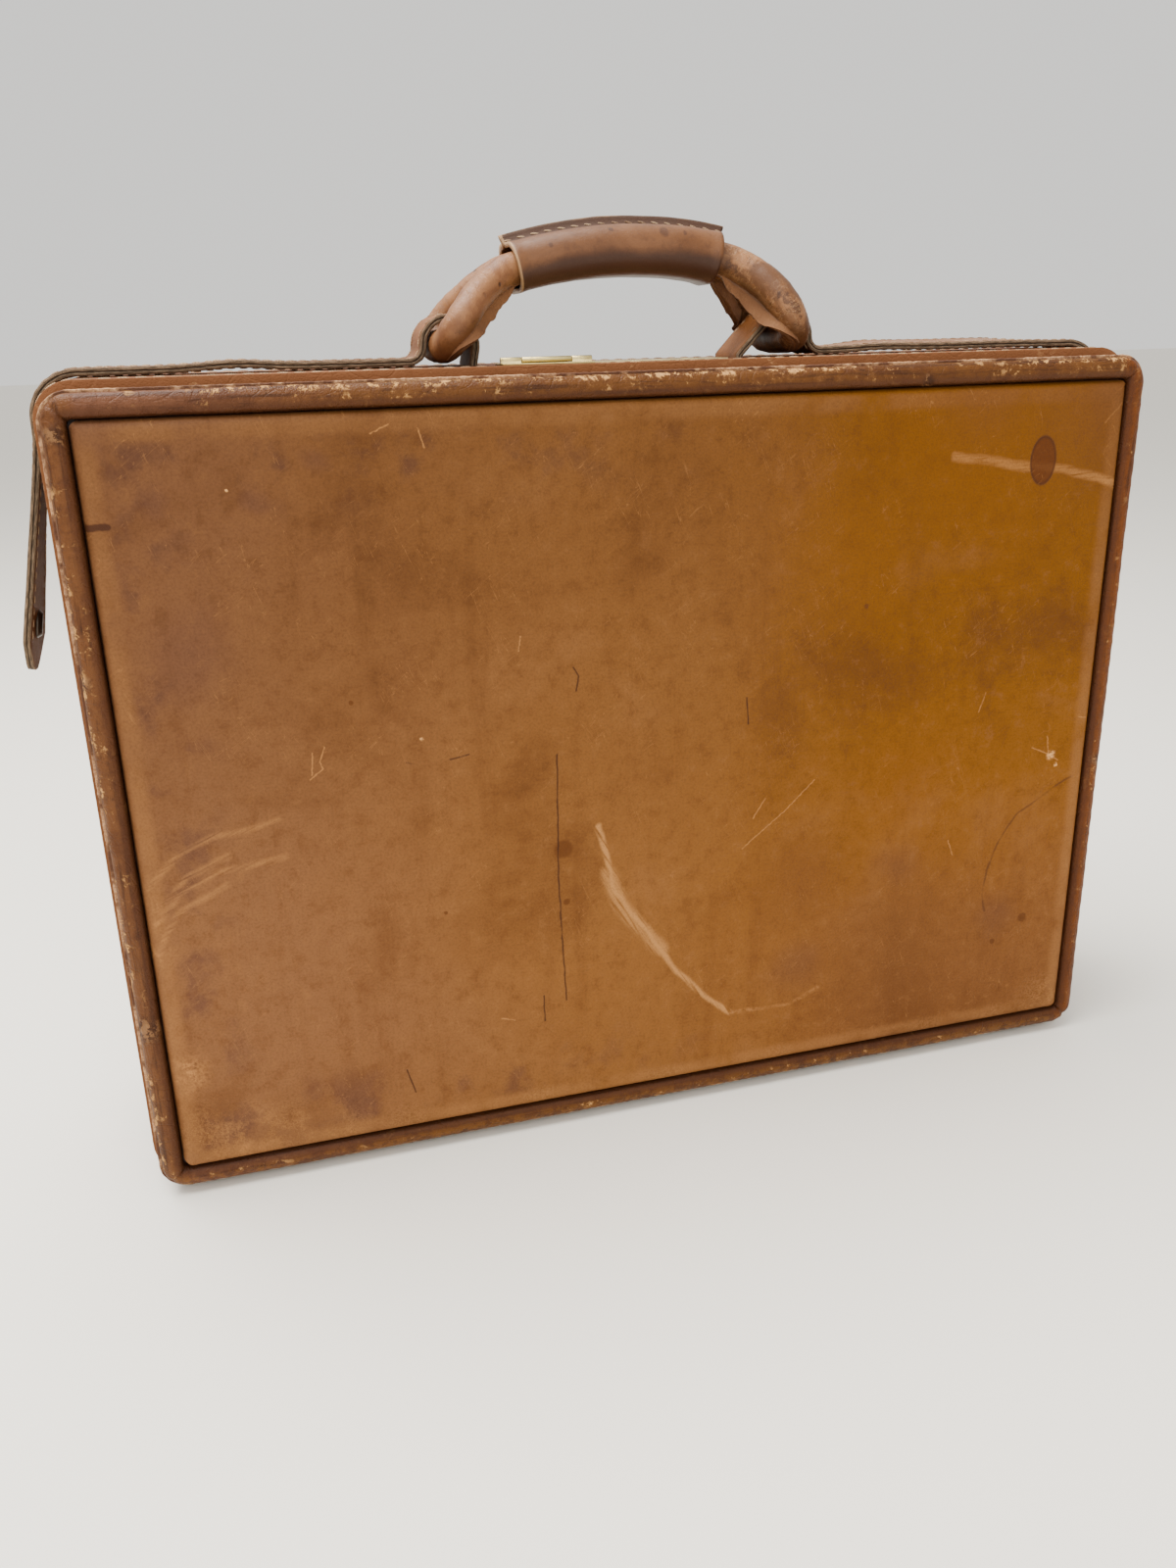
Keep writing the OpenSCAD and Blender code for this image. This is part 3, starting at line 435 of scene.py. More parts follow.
# The rolled binding: darker, polished on its crest and chipped to the pale hide along it
def bindingLeather(name, side):
    paint = Paint(name, {"pink": (0.106, 0.040, 0.0185), "gold": (0.088, 0.031, 0.0055),
        "deep": (0.020, 0.006, 0.002), "flank": (0.048, 0.014, 0.004), "rust": (0.116, 0.030, 0.002),
        "side": (0.104, 0.038, 0.011), "hide": (0.50, 0.26, 0.09), "foot": (0.156, 0.058, 0.006),
        "frayed": (0.200, 0.095, 0.038), "rubbed": (0.180, 0.074, 0.022)})
    place = paint.place()
    x, y, z = paint.parts(place)
    front = y * side
    halfW, halfH = case["halfW"] - binding["width"], case["halfH"] - binding["width"]
    out = (abs(x) - halfW).most(abs(z - case["midZ"]) - halfH)
    blotch = paint.noise(place, 20, 5, 0.65, 0.5)
    mottle = paint.noise(place, 230, 5, 0.75)
    runX = paint.noise(paint.stretched(place, (16, 420, 420)), 1, 5, 0.7)
    runZ = paint.noise(paint.stretched(place, (420, 420, 16)), 1, 5, 0.7)
    upright = abs(x).between(0.2145, 0.2175)
    grain = runX * (1 - upright) + runZ * upright
    paint.base(x.between(-0.22, -0.10), "pink", "gold")
    paint.coat(x.between(0.214, 0.220), "rust")
    paint.coat(x.between(-0.214, -0.220), "side")
    paint.coat(blotch.between(0.50, 0.66) * 0.55, "flank")
    paint.coat(grain.between(0.50, 0.64) * 0.62, "deep")
    paint.coat(mottle.between(0.48, 0.60) * 0.40, "flank")
    across = paint.noise(paint.stretched(place, (620, 620, 90)), 1, 4, 0.7)
    along = paint.noise(paint.stretched(place, (90, 620, 620)), 1, 4, 0.7)
    worn = paint.noise(place, 76.8, 4, 0.7)
    wrinkle = along * (1 - upright) + across * upright
    paint.coat(worn.between(0.50, 0.64) * wrinkle.between(0.50, 0.58) * 0.55, "deep")
    # Painted shade: darker on the inner flank of the roll, darkest at its inner edge by the groove
    inner = out.between(0.0052, 0.0016)
    paint.coat(inner * 0.70, "flank")
    paint.coat(out.between(0.0014, 0.0004) * 0.60, "deep")
    patch = paint.noise(place, 17, 3)
    chips = paint.noise(paint.shaken(place, 90, 0.006), 190, 5, 0.75)
    outer = out.between(0.0062, 0.0082) * (0.35 + front.between(0.0430, 0.0495) * 0.65)
    crest = out.between(0.0028, 0.0040) * out.between(0.0068, 0.0050)
    foot = z.between(0.012, 0.006)
    paint.coat(foot * mottle.between(0.54, 0.46) * 0.5, "foot")
    exposed = outer.most(crest * (0.6 + foot * 0.4)).most(0.05)
    chip = (chips + outer * 0.055).between(0.59, 0.63) * patch.between(0.37, 0.50) * exposed
    torn = paint.spots(paint.shaken(paint.vector(x, 0, z), 120, 0.005), [(-226, 84, 9), (-228, 232, 4),
        (226, 150, 5), (-148, 3, 5), (228, 8, 7), (-224, 322, 5), (120, 329, 4)], 0.8)
    paint.coat(torn * 0.65, "deep")
    paint.coat(torn * chips.between(0.50, 0.55) * 0.85, "frayed")
    rub = chips.between(0.47, 0.58) * patch.between(0.46, 0.62) * crest.most(outer)
    paint.coat(rub * 0.26, "rubbed")
    paint.coat(chip * 0.85, "hide")
    # Painted shade: darker on the skirt behind the roll, next to the band's step
    skirt = front.between(0.0500, 0.0485)
    paint.coat(skirt * 0.35, "flank")
    height = leatherGrain(paint, place, 1100, 120) + grain * 0.6 + wrinkle * worn
    height = height - chip * 0.5 + torn * chips * 3
    rough = 0.37 + mottle * 0.18 + chip * 0.35 + rub * 0.12
    return paint.finish(rough, height, 0.0006, 0.7, Specular_IOR_Level=0.13)


# The side bands, with a pale cut edge where the leather ends
def bandLeather(name, stepY):
    paint = Paint(name, {"base": (0.110, 0.036, 0.012), "light": (0.170, 0.064, 0.022),
        "deep": (0.038, 0.012, 0.005), "hide": (0.52, 0.28, 0.12), "riser": (0.180, 0.066, 0.022)})
    place = paint.place()
    x, y, z = paint.parts(place)
    blotch = paint.noise(place, 11, 5, 0.65, 0.6)
    mottle = paint.noise(place, 190, 5, 0.75)
    fromStep = abs(y - stepY)
    fromTop = case["topZ"] - z
    paint.base(blotch.between(0.36, 0.66), "base", "light")
    paint.coat(mottle.between(0.45, 0.7) * 0.40, "deep")
    riser = fromStep.between(0.0006, 0.0001)
    paint.coat(riser * 0.7, "riser")
    rim = fromStep.between(0.0013, 0.0004) * paint.noise(place, 90, 4).between(0.36, 0.56)
    paint.coat(rim * (1 - riser) * 0.55, "hide")
    run = paint.stretched(place, (70, 900, 70))
    scratch = paint.noise(paint.shaken(run, 2, 1.5), 1, 4, 0.7)
    scuff = scratch.between(0.62, 0.70) * blotch.between(0.4, 0.6)
    paint.coat(scuff * 0.45, "hide")
    chips = paint.noise(place, 130, 5, 0.75)
    corner = abs(x).between(0.220, 0.2315) * z.between(0.022, 0.004).most(fromTop.between(0.018, 0.003))
    chip = chips.between(0.55, 0.61) * corner
    paint.coat(chip * 0.7, "hide")
    # Painted shade: the band grows darker towards the bottom, near the floor
    paint.coat((1 - z.between(0.0, 0.016)) * 0.4, "deep")
    height = leatherGrain(paint, place, 1200, 100) - scuff * 0.2 - chip * 0.4
    rough = 0.56 + mottle * 0.2 + scuff * 0.2 + chip * 0.2
    return paint.finish(rough, height, 0.00045, 0.6, Specular_IOR_Level=0.15)


# Cut leather, seen on edge
def cutLeather():
    paint = Paint("cut edge")
    place = paint.place()
    layers = paint.noise(place, 900, 4, 0.75)
    patch = paint.noise(place, 70, 5, 0.65)
    paint.base(layers.between(0.35, 0.65), (0.26, 0.12, 0.055), (0.50, 0.29, 0.15))
    paint.coat(patch.between(0.40, 0.56) * 0.92, (0.060, 0.020, 0.010))
    return paint.finish(0.8, layers, 0.0004, 0.7, Specular_IOR_Level=0.2)


# Strap leather: two sewn plies, smooth on their faces and dark and fibrous on their edges
def strapLeather():
    paint = Paint("strap leather", {"face": (0.250, 0.088, 0.020), "brown": (0.110, 0.044, 0.017),
        "litPale": (0.36, 0.23, 0.15), "edge": (0.066, 0.044, 0.026), "fibre": (0.210, 0.140, 0.085),
        "deep": (0.050, 0.018, 0.008), "glue": (0.014, 0.009, 0.006)})
    place = paint.place()
    along, across, thick = paint.parts(paint.local())
    x, _, z = paint.parts(place)
    blotch = paint.noise(place, 30, 5, 0.6, 0.5)
    mottle = paint.noise(place, 260, 4, 0.7)
    paint.base(blotch.between(0.42, 0.66) * 0.7, "face", "brown")
    flatTop = z.between(case["topZ"] + 0.001, case["topZ"] + 0.003)
    run = abs(x).between(0.080, 0.092)
    paint.coat(run * 0.75, "brown")
    # Painted highlight: the top face of the right run paler, in patches, where light falls from above
    litTop = flatTop * run * x.between(0.0, 0.05)
    paint.coat(litTop * blotch.between(0.30, 0.65) * 0.35, "litPale")
    paint.coat(mottle.between(0.48, 0.7) * 0.3, "deep")
    edge = abs(across).between(0.0119, 0.0123)
    strands = paint.noise(paint.vector(along * 260, across * 900, thick * 3200), 1, 4, 0.75)
    cut = paint.mix(strands.between(0.42, 0.62), "edge", "fibre")
    paint.coat(edge, cut)
    glue = abs(thick).between(0.00035, 0.0001) * edge
    paint.coat(glue * 0.8, "glue")
    darkened = abs(across).between(0.0105, 0.0119) * (1 - edge)
    paint.coat(darkened * 0.45, "deep")
    height = leatherGrain(paint, place, 1300, 150) * (1 - edge) + strands * edge * 1.6 - glue
    return paint.finish(0.5 + mottle * 0.15 + edge * 0.3, height, 0.0004, 0.7, Specular_IOR_Level=0.18)


def rollLeather():
    paint = Paint("roll leather", {"base": (0.142, 0.054, 0.019), "light": (0.240, 0.105, 0.040),
        "deep": (0.034, 0.012, 0.006), "hide": (0.42, 0.23, 0.10), "raw": (0.050, 0.025, 0.014),
        "brown": (0.085, 0.034, 0.012), "pore": (0.030, 0.012, 0.008)})
    place = paint.place()
    along, across, rise = paint.parts(paint.local())
    x = paint.parts(place)[0]
    blotch = paint.noise(place, 60, 5, 0.65, 0.8)
    mottle = paint.noise(place, 420, 5, 0.75)
    paint.base(blotch.between(0.36, 0.60), "base", "light")
    right = x.between(0.0, 0.04)
    paint.coat(right * blotch.between(0.62, 0.44) * 0.85, "brown")
    # Painted shade: the underside of the roll darker
    underShade = rise.between(0.001, -0.006)
    paint.coat(underShade * 0.45, "brown")
    stain = paint.noise(place, 95, 5, 0.7, 0.4)
    paint.coat(stain.between(0.58, 0.66) * (0.25 + right * 0.5), "deep")
    wrinkle = paint.noise(paint.vector(along * 380, across * 110, rise * 110), 1, 4, 0.65, 0.8)
    crinkle = abs(wrinkle - 0.5).between(0.030, 0.0) * blotch.between(0.40, 0.58)
    paint.coat(crinkle * (0.05 + right * 0.30), "hide")
    flap = rise.between(-0.0064, -0.0074)
    layers = paint.noise(paint.vector(along * 300, across * 1500, rise * 700), 1, 4, 0.75)
    paint.coat(flap * 0.5, paint.mix(layers, "base", "light"))
    tip = rise.between(-0.0118, -0.0128)
    paint.coat(tip * 0.9, paint.mix(layers.between(0.4, 0.6), "raw", "deep"))
    holes = paint.cells(place, 150, "F1").between(0.17, 0.09)
    pore = holes * paint.noise(place, 50, 2).between(0.43, 0.49) * (1 - right)
    paint.coat(pore * 0.85, "pore")
    seam = abs(wrinkle - 0.47).between(0.012, 0.0) * rise.between(-0.0015, -0.0030) * (1 - flap)
    paint.coat(seam * 0.7, "deep")
    height = smoothGrain(paint, place) + wrinkle * 0.5 + layers * flap * 0.8 - pore * 0.8 - crinkle * 0.3
    return paint.finish(0.36 + mottle * 0.16 + flap * 0.3, height, 0.0005, 0.65, Specular_IOR_Level=0.28)


def gripLeather():
    paint = Paint("grip leather", {"base": (0.092, 0.034, 0.010), "light": (0.135, 0.054, 0.019),
        "deep": (0.030, 0.011, 0.006), "hide": (0.40, 0.24, 0.12), "fin": (0.030, 0.014, 0.008),
        "pink": (0.085, 0.034, 0.020)})
    place = paint.place()
    along, across, rise = paint.parts(paint.local())
    blotch = paint.noise(place, 32, 5, 0.6, 0.4)
    mottle = paint.noise(place, 360, 5, 0.75)
    paint.base(blotch.between(0.35, 0.65), "base", "light")
    # Painted shade: the lower half of the grip darker, with a wavy edge
    darkened = (rise + (blotch - 0.5) * 0.004).between(0.0016, -0.0030)
    paint.coat(darkened * 0.86, "deep")
    paint.coat(rise.between(-0.0078, -0.0096) * 0.45, "pink")
    paint.coat(mottle.between(0.48, 0.66) * 0.26, "deep")
    fin = rise.between(0.0096, 0.0103)
    layers = paint.noise(paint.vector(along * 160, across * 900, rise * 1300), 1, 4, 0.75)
    paint.coat(fin * 0.85, paint.mix(layers.between(0.4, 0.65), "fin", "deep"))
    lip = rise.between(0.0130, 0.0136)
    paint.coat(lip * 0.6, paint.mix(layers.between(0.40, 0.65), "fin", "hide"))
    rim = abs(along).between(0.0452, 0.0457) * (along < 0)
    paint.coat(rim * (0.4 + layers * 0.6), "hide")
    spot = paint.spots(paint.shaken(paint.vector(along, 0, rise), 300, 0.0015), [(17, 6.5, 2.6),
        (27, 6.6, 1.5), (-31, 5, 1.3), (-5, 7.6, 1.2)], 0.5)
    paint.coat(spot * 0.6, "deep")
    ends = abs(along).between(0.034, 0.045)
    wrinkle = paint.noise(paint.vector(along * 500, across * 80, rise * 80), 1, 4, 0.6, 0.5)
    height = smoothGrain(paint, place) + wrinkle * ends * 0.4 + layers * fin * 0.9
    return paint.finish(0.36 + mottle * 0.14 + fin * 0.3, height, 0.00045, 0.6, Specular_IOR_Level=0.25)


def insideLeather():
    paint = Paint("inside leather")
    place = paint.place()
    blotch = paint.noise(place, 14, 4, 0.6)
    mottle = paint.noise(place, 300, 4, 0.7)
    paint.base(blotch.between(0.35, 0.65), (0.200, 0.086, 0.036), (0.250, 0.120, 0.055))
    paint.coat(mottle.between(0.5, 0.7) * 0.3, (0.095, 0.038, 0.018))
    height = leatherGrain(paint, place, 1300, 110)
    return paint.finish(0.45 + mottle * 0.15, height, 0.0004, 0.6, Specular_IOR_Level=0.35)


def threadCord():
    paint = Paint("thread")
    place = paint.place()
    x, y, z = paint.parts(place)
    lay = ((x + y + z) * 5200).math("SINE")
    darkPatch = paint.noise(place, 60, 4, 0.6)
    paint.base(darkPatch.between(0.4, 0.65), (0.42, 0.28, 0.16), (0.20, 0.115, 0.062))
    return paint.finish(0.75, lay, 0.00015, 0.6, Specular_IOR_Level=0.2)


def liningCloth():
    paint = Paint("lining cloth")
    place = paint.place()
    x, y, z = paint.parts(place)
    threadGap = 0.0011
    warp = ((x + y * 0.2) * (math.tau / threadGap)).math("SINE")
    weft = ((z + y * 0.9) * (math.tau / threadGap)).math("SINE")
    weave = warp.most(weft) * 0.5 + 0.5
    darkPatch = paint.noise(place, 9, 4, 0.6)
    slub = paint.noise(paint.stretched(place, (30, 400, 900)), 1, 3, 0.6)
    paint.base(weave, (0.235, 0.165, 0.105), (0.37, 0.28, 0.19))
    paint.coat(slub.between(0.5, 0.7) * 0.3, (0.20, 0.135, 0.085))
    paint.coat(darkPatch.between(0.48, 0.72) * 0.4, (0.20, 0.13, 0.075))
    return paint.finish(0.88, weave + slub * 0.6, 0.0003, 0.7, Sheen_Weight=0.15)


# Wood, metal

# Wood, with painted shade: dark on the rim of the boards, where the groove shows it
def plainWood(name, light, dark, flow, rim=None):
    paint = Paint(name)
    place = paint.place()
    rings = paint.noise(paint.stretched(place, flow), 1, 5, 0.6, 1.2)
    pores = paint.noise(paint.stretched(place, tuple(f * 4 for f in flow)), 1, 4, 0.7)
    paint.base(rings.between(0.35, 0.65), light, dark)
    paint.coat(pores.between(0.55, 0.7) * 0.5, tuple(c * 0.5 for c in dark))
    if rim:
        x, _, z = paint.parts(place)
        inside = (case["halfW"] - abs(x)).least(case["halfH"] - abs(z - case["midZ"]))
        # Painted shade: the rim of the board dark where it shows in the groove
        paint.coat(inside.between(0.0150, 0.0125), rim)
    return paint.finish(0.62 + pores * 0.15, rings * 0.4 + pores, 0.0003, 0.5)


def metal(name, bright, dull, stain, rough, wear=0.5):
    paint = Paint(name)
    place = paint.place()
    cloud = paint.noise(place, 70, 5, 0.65, 0.5)
    spots = paint.noise(place, 420, 4, 0.7)
    brushed = paint.noise(paint.stretched(place, (90, 2600, 2600)), 1, 3, 0.6)
    paint.base(cloud.between(0.38, 0.66) * wear, bright, dull)
    tarnish = spots.between(0.56, 0.68) * cloud.between(0.4, 0.6) * wear
    paint.coat(tarnish, stain)
    height = brushed * 0.5 + spots * 0.4 - tarnish * 0.6
    rough = rough + spots * 0.14 + tarnish * 0.3
    return paint.finish(rough, height, 0.00006, 0.5, Metallic=1 - tarnish * 0.6)


# Mesh helpers

def newPiece(name, bm, body, slot, material, *standsFor, crease=42):
    for edge in bm.edges:
        if len(edge.link_faces) == 2 and edge.calc_face_angle() > math.radians(crease):
            edge.smooth = False
    mesh = bpy.data.meshes.new(name)
    bm.to_mesh(mesh)
    bm.free()
    mesh.shade_smooth()
    mesh.materials.append(material)
    piece = bpy.data.objects.new(name, mesh)
    bpy.context.scene.collection.objects.link(piece)
    if body:
        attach(piece, body)
    if standsFor:
        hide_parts(*standsFor)
    return piece


def carry(bm, edges, steps, angle=0.0, centre=(0, 0, 0), move=(0, 0, 0)):
    made = bmesh.ops.spin(bm, geom=edges, cent=centre, axis=(0, -1, 0), dvec=move, angle=angle, steps=steps,
        use_merge=False, use_duplicate=False)["geom_last"]
    kinds = (bmesh.types.BMVert, bmesh.types.BMEdge)
    return [[part for part in made if isinstance(part, kind)] for kind in kinds]


# A matrix at a spot, from the ways its x, y and z point
def frameAt(spot, x, y, z):
    matrix = Matrix((x, y, z)).transposed().to_4x4()
    matrix.translation = spot
    return matrix


def closeUp(bm):
    bmesh.ops.remove_doubles(bm, verts=bm.verts, dist=0.00002)
    bmesh.ops.recalc_face_normals(bm, faces=bm.faces)
    bm.normal_update()


# Carries an outline of (outwards, depth) pairs round the case, from the middle of its base
def ringSweep(outline, stride, bends, shrink=0, corner=case["corner"]):
    bm = bmesh.new()
    halfW, halfH = case["halfW"] - shrink, case["halfH"] - shrink
    base = case["midZ"] - halfH
    start = [bm.verts.new((0, depth, base - out)) for out, depth in outline]
    live = [bm.edges.new(pair) for pair in zip(start, start[1:] + start[:1])]
    wide, tall = halfW - corner, halfH - corner
    straights = [wide, 2 * tall, 2 * wide, 2 * tall, wide]
    for i, length in enumerate(straights):
        turn = i * math.pi / 2
        way = Vector((math.cos(turn), 0, math.sin(turn))) * length
        live = carry(bm, live, 1, move=way)[1]
        if i < 4:
            side = 1 if i < 2 else -1
            rise = -1 if i in (0, 3) else 1
            centre = (side * wide, 0, case["midZ"] + rise * tall)
            live = carry(bm, live, bends, math.pi / 2, centre)[1]
    closeUp(bm)
    for length in sorted(set(straights)):
        along = [edge for edge in bm.edges if abs(edge.calc_length() - length) < 1e-5]
        bmesh.ops.subdivide_edges(bm, edges=along, cuts=round(length / stride), use_grid_fill=True)
    return bm


# Carries an outline of (x, y) pairs along stations, each (length so far, matrix)
def sweep(outline, stations, reshape=None, loop=False, shut=True):
    bm = bmesh.new()
    local = bm.verts.layers.float_vector.new("local")
    ring = [bm.verts.new((0, 0, 0)) for _ in outline]
    for vert, (x, y) in zip(ring, outline):
        vert[local] = (0, x, y)
    live = [bm.edges.new(pair) for pair in zip(ring, ring[1:] + ring[:1])]
    first = live
    for i, (length, matrix) in enumerate(stations):
        if i:
            ring, live = carry(bm, live, 1)
        for vert in ring:
            x, y = vert[local][1], vert[local][2]
            vert[local] = (length, x, y)
            if reshape:
                x, y = reshape(length, x, y)
            vert.co = matrix @ Vector((x, y, 0))
    if loop:
        bmesh.ops.bridge_loops(bm, edges=first + live)
    elif shut:
        bmesh.ops.contextual_create(bm, geom=first)
        bmesh.ops.contextual_create(bm, geom=live)
    closeUp(bm)
    return bm


# Even stations along a line of points, with the outline's x along sideways(tangent)
def stationsAlong(points, stride, sideways, loop=False):
    line = points + points[:1] if loop else points
    lengths = [0]
    for a, b in zip(line, line[1:]):
        lengths.append(lengths[-1] + (b - a).length)
    total = lengths[-1]
    count = max(2, round(total / stride))

    def at(length):
        length = length % total if loop else min(max(length, 0), total)
        i = max(k for k in range(len(line) - 1) if lengths[k] <= length + 1e-12)
        share = (length - lengths[i]) / max(lengths[i + 1] - lengths[i], 1e-9)
        return line[i].lerp(line[i + 1], share)

    stations = []
    for i in range(count if loop else count + 1):
        length = total * i / count
        tangent = (at(length + stride) - at(length - stride)).normalized()
        x = sideways(tangent)
        x = (x - tangent * x.dot(tangent)).normalized()
        stations.append((length, frameAt(at(length), x, x.cross(tangent), tangent)))
    return stations


# A closed line that curves smoothly through its points
def smoothLine(points, steps):
    count = len(points)
    line = []
    for i in range(count):
        a, b, c, d = (points[(i + k) % count] for k in (-1, 0, 1, 2))
        for k in range(steps):
            t = k / steps
            line.append(0.5 * (2 * b + (c - a) * t + (2 * a - 5 * b + 4 * c - d) * t * t
                + (3 * b - a - 3 * c + d) * t * t * t))
    return line


def arcPoints(x, z, radius, start, end, steps):
    angles = [math.radians(start + (end - start) * i / steps) for i in range(steps + 1)]
    return [Vector((x + radius * math.cos(a), 0, z + radius * math.sin(a))) for a in angles]


# 0 at low and 1 at high, smooth between them
def ease(value, low, high):
    share = min(max((value - low) / (high - low), 0), 1)
    return share * share * (3 - 2 * share)


# Pushes each point along its normal, by smooth noise
def unevenness(bm, waves, seed):
    bm.normal_update()
    shift = Vector((seed * 7.3, seed * 3.1, seed * 5.7))
    for vert in bm.verts:
        push = sum(noise.noise(vert.co * scale + shift) * depth for scale, depth in waves)
        vert.co += vert.normal * push


# One small thread bead for each matrix, whose x runs along the stitch and z out of the leather
def stitches(name, matrices, size, body, slot):
    length, width = size
    bm = bmesh.new()
    shape = Matrix.Diagonal((length / 2, width / 2, width * 0.45, 1))
    bmesh.ops.create_uvsphere(bm, u_segments=6, v_segments=5, radius=1,
        matrix=shape @ Matrix.Rotation(math.pi / 2, 4, "Y"))
    bead = bpy.data.meshes.new("bead")
    bm.to_mesh(bead)
    bm.clear()
    for matrix in matrices:
        bead.transform(matrix)
        bm.from_mesh(bead)
        bead.transform(matrix.inverted())
    bpy.data.meshes.remove(bead)
    bmesh.ops.recalc_face_normals(bm, faces=bm.faces)
    return newPiece(name, bm, body, slot, finishes["thread"])


def giveWall(piece, thickness, offset=0):
    wall = piece.modifiers.new("wall", "SOLIDIFY")
    wall.thickness = thickness
    wall.offset = offset


def giveBevel(piece, width, segments, degrees):
    bevel = piece.modifiers.new("bevel", "BEVEL")
    bevel.width = width
    bevel.segments = segments
    bevel.limit_method = "ANGLE"
    bevel.angle_limit = math.radians(degrees)
    return bevel


def roundEdges(bm, edges, width, segments):
    bmesh.ops.bevel(bm, geom=edges, offset=width, affect="EDGES", segments=segments, profile=0.5, material=-1,
        offset_type="OFFSET")


# Turns open or closed lines once round an upright axis
def turned(bm, edges, centre, steps):
    bmesh.ops.spin(bm, geom=edges, cent=centre, axis=(0, 0, 1), angle=math.tau, steps=steps, use_merge=True,
        use_duplicate=False)


def lathe(profile, matrix):
    bm = bmesh.new()
    points = [bm.verts.new((radius * mm, 0, height * mm)) for radius, height in profile]
    edges = [bm.edges.new(pair) for pair in zip(points, points[1:])]
    turned(bm, edges, (0, 0, 0), 40)
    closeUp(bm)
    bmesh.ops.transform(bm, matrix=matrix, verts=bm.verts)
    bmesh.ops.recalc_face_normals(bm, faces=bm.faces)
    return bm


# Rounds the edges of pieces of the frame, by a width in millimetres, without changing their meshes
def soften(width, segments, *names):
    for name in names:
        piece = nodes[name]
        piece.data.shade_smooth()
        piece.modifiers.new("weld", "WELD").merge_threshold = 0.01 * mm
        giveBevel(piece, width * mm, segments, 38).harden_normals = True


def repaint(finish, *names):
    for name in names:
        nodes[name].data.materials.clear()
        nodes[name].data.materials.append(finishes[finish])


# Padded faces

padded = {"inset": 9.3 * mm, "roll": 4.0 * mm, "rise": 6 * mm, "edge": 2.0 * mm, "depth": 2.8 * mm,
          "topCorner": 4 * mm, "lowCorner": 7.5 * mm, "crown": 0.9 * mm, "sunk": 0.5 * mm, "calm": 22 * mm,
          "columns": 190, "rows": 138, "waves": [(9, 0.55 * mm), (28, 0.16 * mm), (90, 0.045 * mm)]}


# Sets the points of a grid closer together towards its rim
def spread(share):
    return 0.62 * share + 0.38 * math.sin(share * math.pi / 2)


def paddedFace(name, side, body, node, material, seed):
    halfW = case["halfW"] - padded["inset"]
    halfH = case["halfH"] - padded["inset"]
    shift = Vector((seed, seed * 2, 0))
    bm = bmesh.new()
    bmesh.ops.create_grid(bm, x_segments=padded["columns"], y_segments=padded["rows"], size=1)
    for vert in bm.verts:
        x, z = spread(vert.co.x) * halfW, spread(vert.co.y) * halfH
        corner = padded["topCorner"] if z > 0 else padded["lowCorner"]
        past = Vector((abs(x) - halfW + corner, abs(z) - halfH + corner))
        if past.x > 0 and past.y > 0:
            drawn = past * (max(past) / past.length)
            x = math.copysign(halfW - corner + drawn.x, x)
            z = math.copysign(halfH - corner + drawn.y, z)
        u, v = halfW - abs(x), halfH - abs(z)
        inside = u + v - math.hypot(u, v)
        rounded = math.sqrt(max(0, 1 - max(0, 1 - inside / padded["roll"]) ** 2))
        lift = padded["edge"] + (padded["rise"] - padded["edge"]) * rounded
        calm = ease(inside, 0, padded["calm"])
        bulge = (1 - (x / halfW) ** 4) * (1 - (z / halfH) ** 4)
        point = Vector((x, z, 0)) + shift
        wave = sum(noise.noise(point * scale) * depth for scale, depth in padded["waves"])
        lift += calm * (padded["crown"] * bulge + wave - padded["sunk"])
        vert.co = (x, side * (-case["frontY"] - padded["rise"] + lift), case["midZ"] + z)
    rim = [edge for edge in bm.edges if edge.is_boundary]
    back = carry(bm, rim, 1, move=(0, -side * padded["depth"], 0))[1]
    bmesh.ops.contextual_create(bm, geom=back)
    closeUp(bm)
    piece = newPiece(name, bm, body, "face_leather", material, node)


# Binding, with its raw edge

binding = {"width": 9 * mm, "roll": 4.0 * mm, "skirt": 20 * mm, "thick": 2.5 * mm, "seat": 6 * mm,
           "stride": 3.2 * mm, "bends": 22, "pinch": 0.7 * mm, "gather": 0.12 * mm, "edgeStride": 1.1 * mm,
           "scallop": 4.4 * mm, "scallopDepth": 0.16 * mm, "ragged": 0.12 * mm,
           "waves": [(20, 0.30 * mm), (70, 0.13 * mm), (240, 0.05 * mm)]}


# How far a point lies past the start of the nearest rounded corner, in x and in z
def pastCorner(co):
    startX, startZ = case["halfW"] - case["corner"], case["halfH"] - case["corner"]
    return abs(co.x) - startX, abs(co.z - case["midZ"]) - startZ


# 1 on the diagonal of a corner and 0 on the straights
def onDiagonal(co):
    x, z = pastCorner(co)
    if x < 0 or z < 0:
        return 0
    away = abs(math.degrees(math.atan2(z, x)) - 45)
    return math.exp(-(away / 7) ** 2)


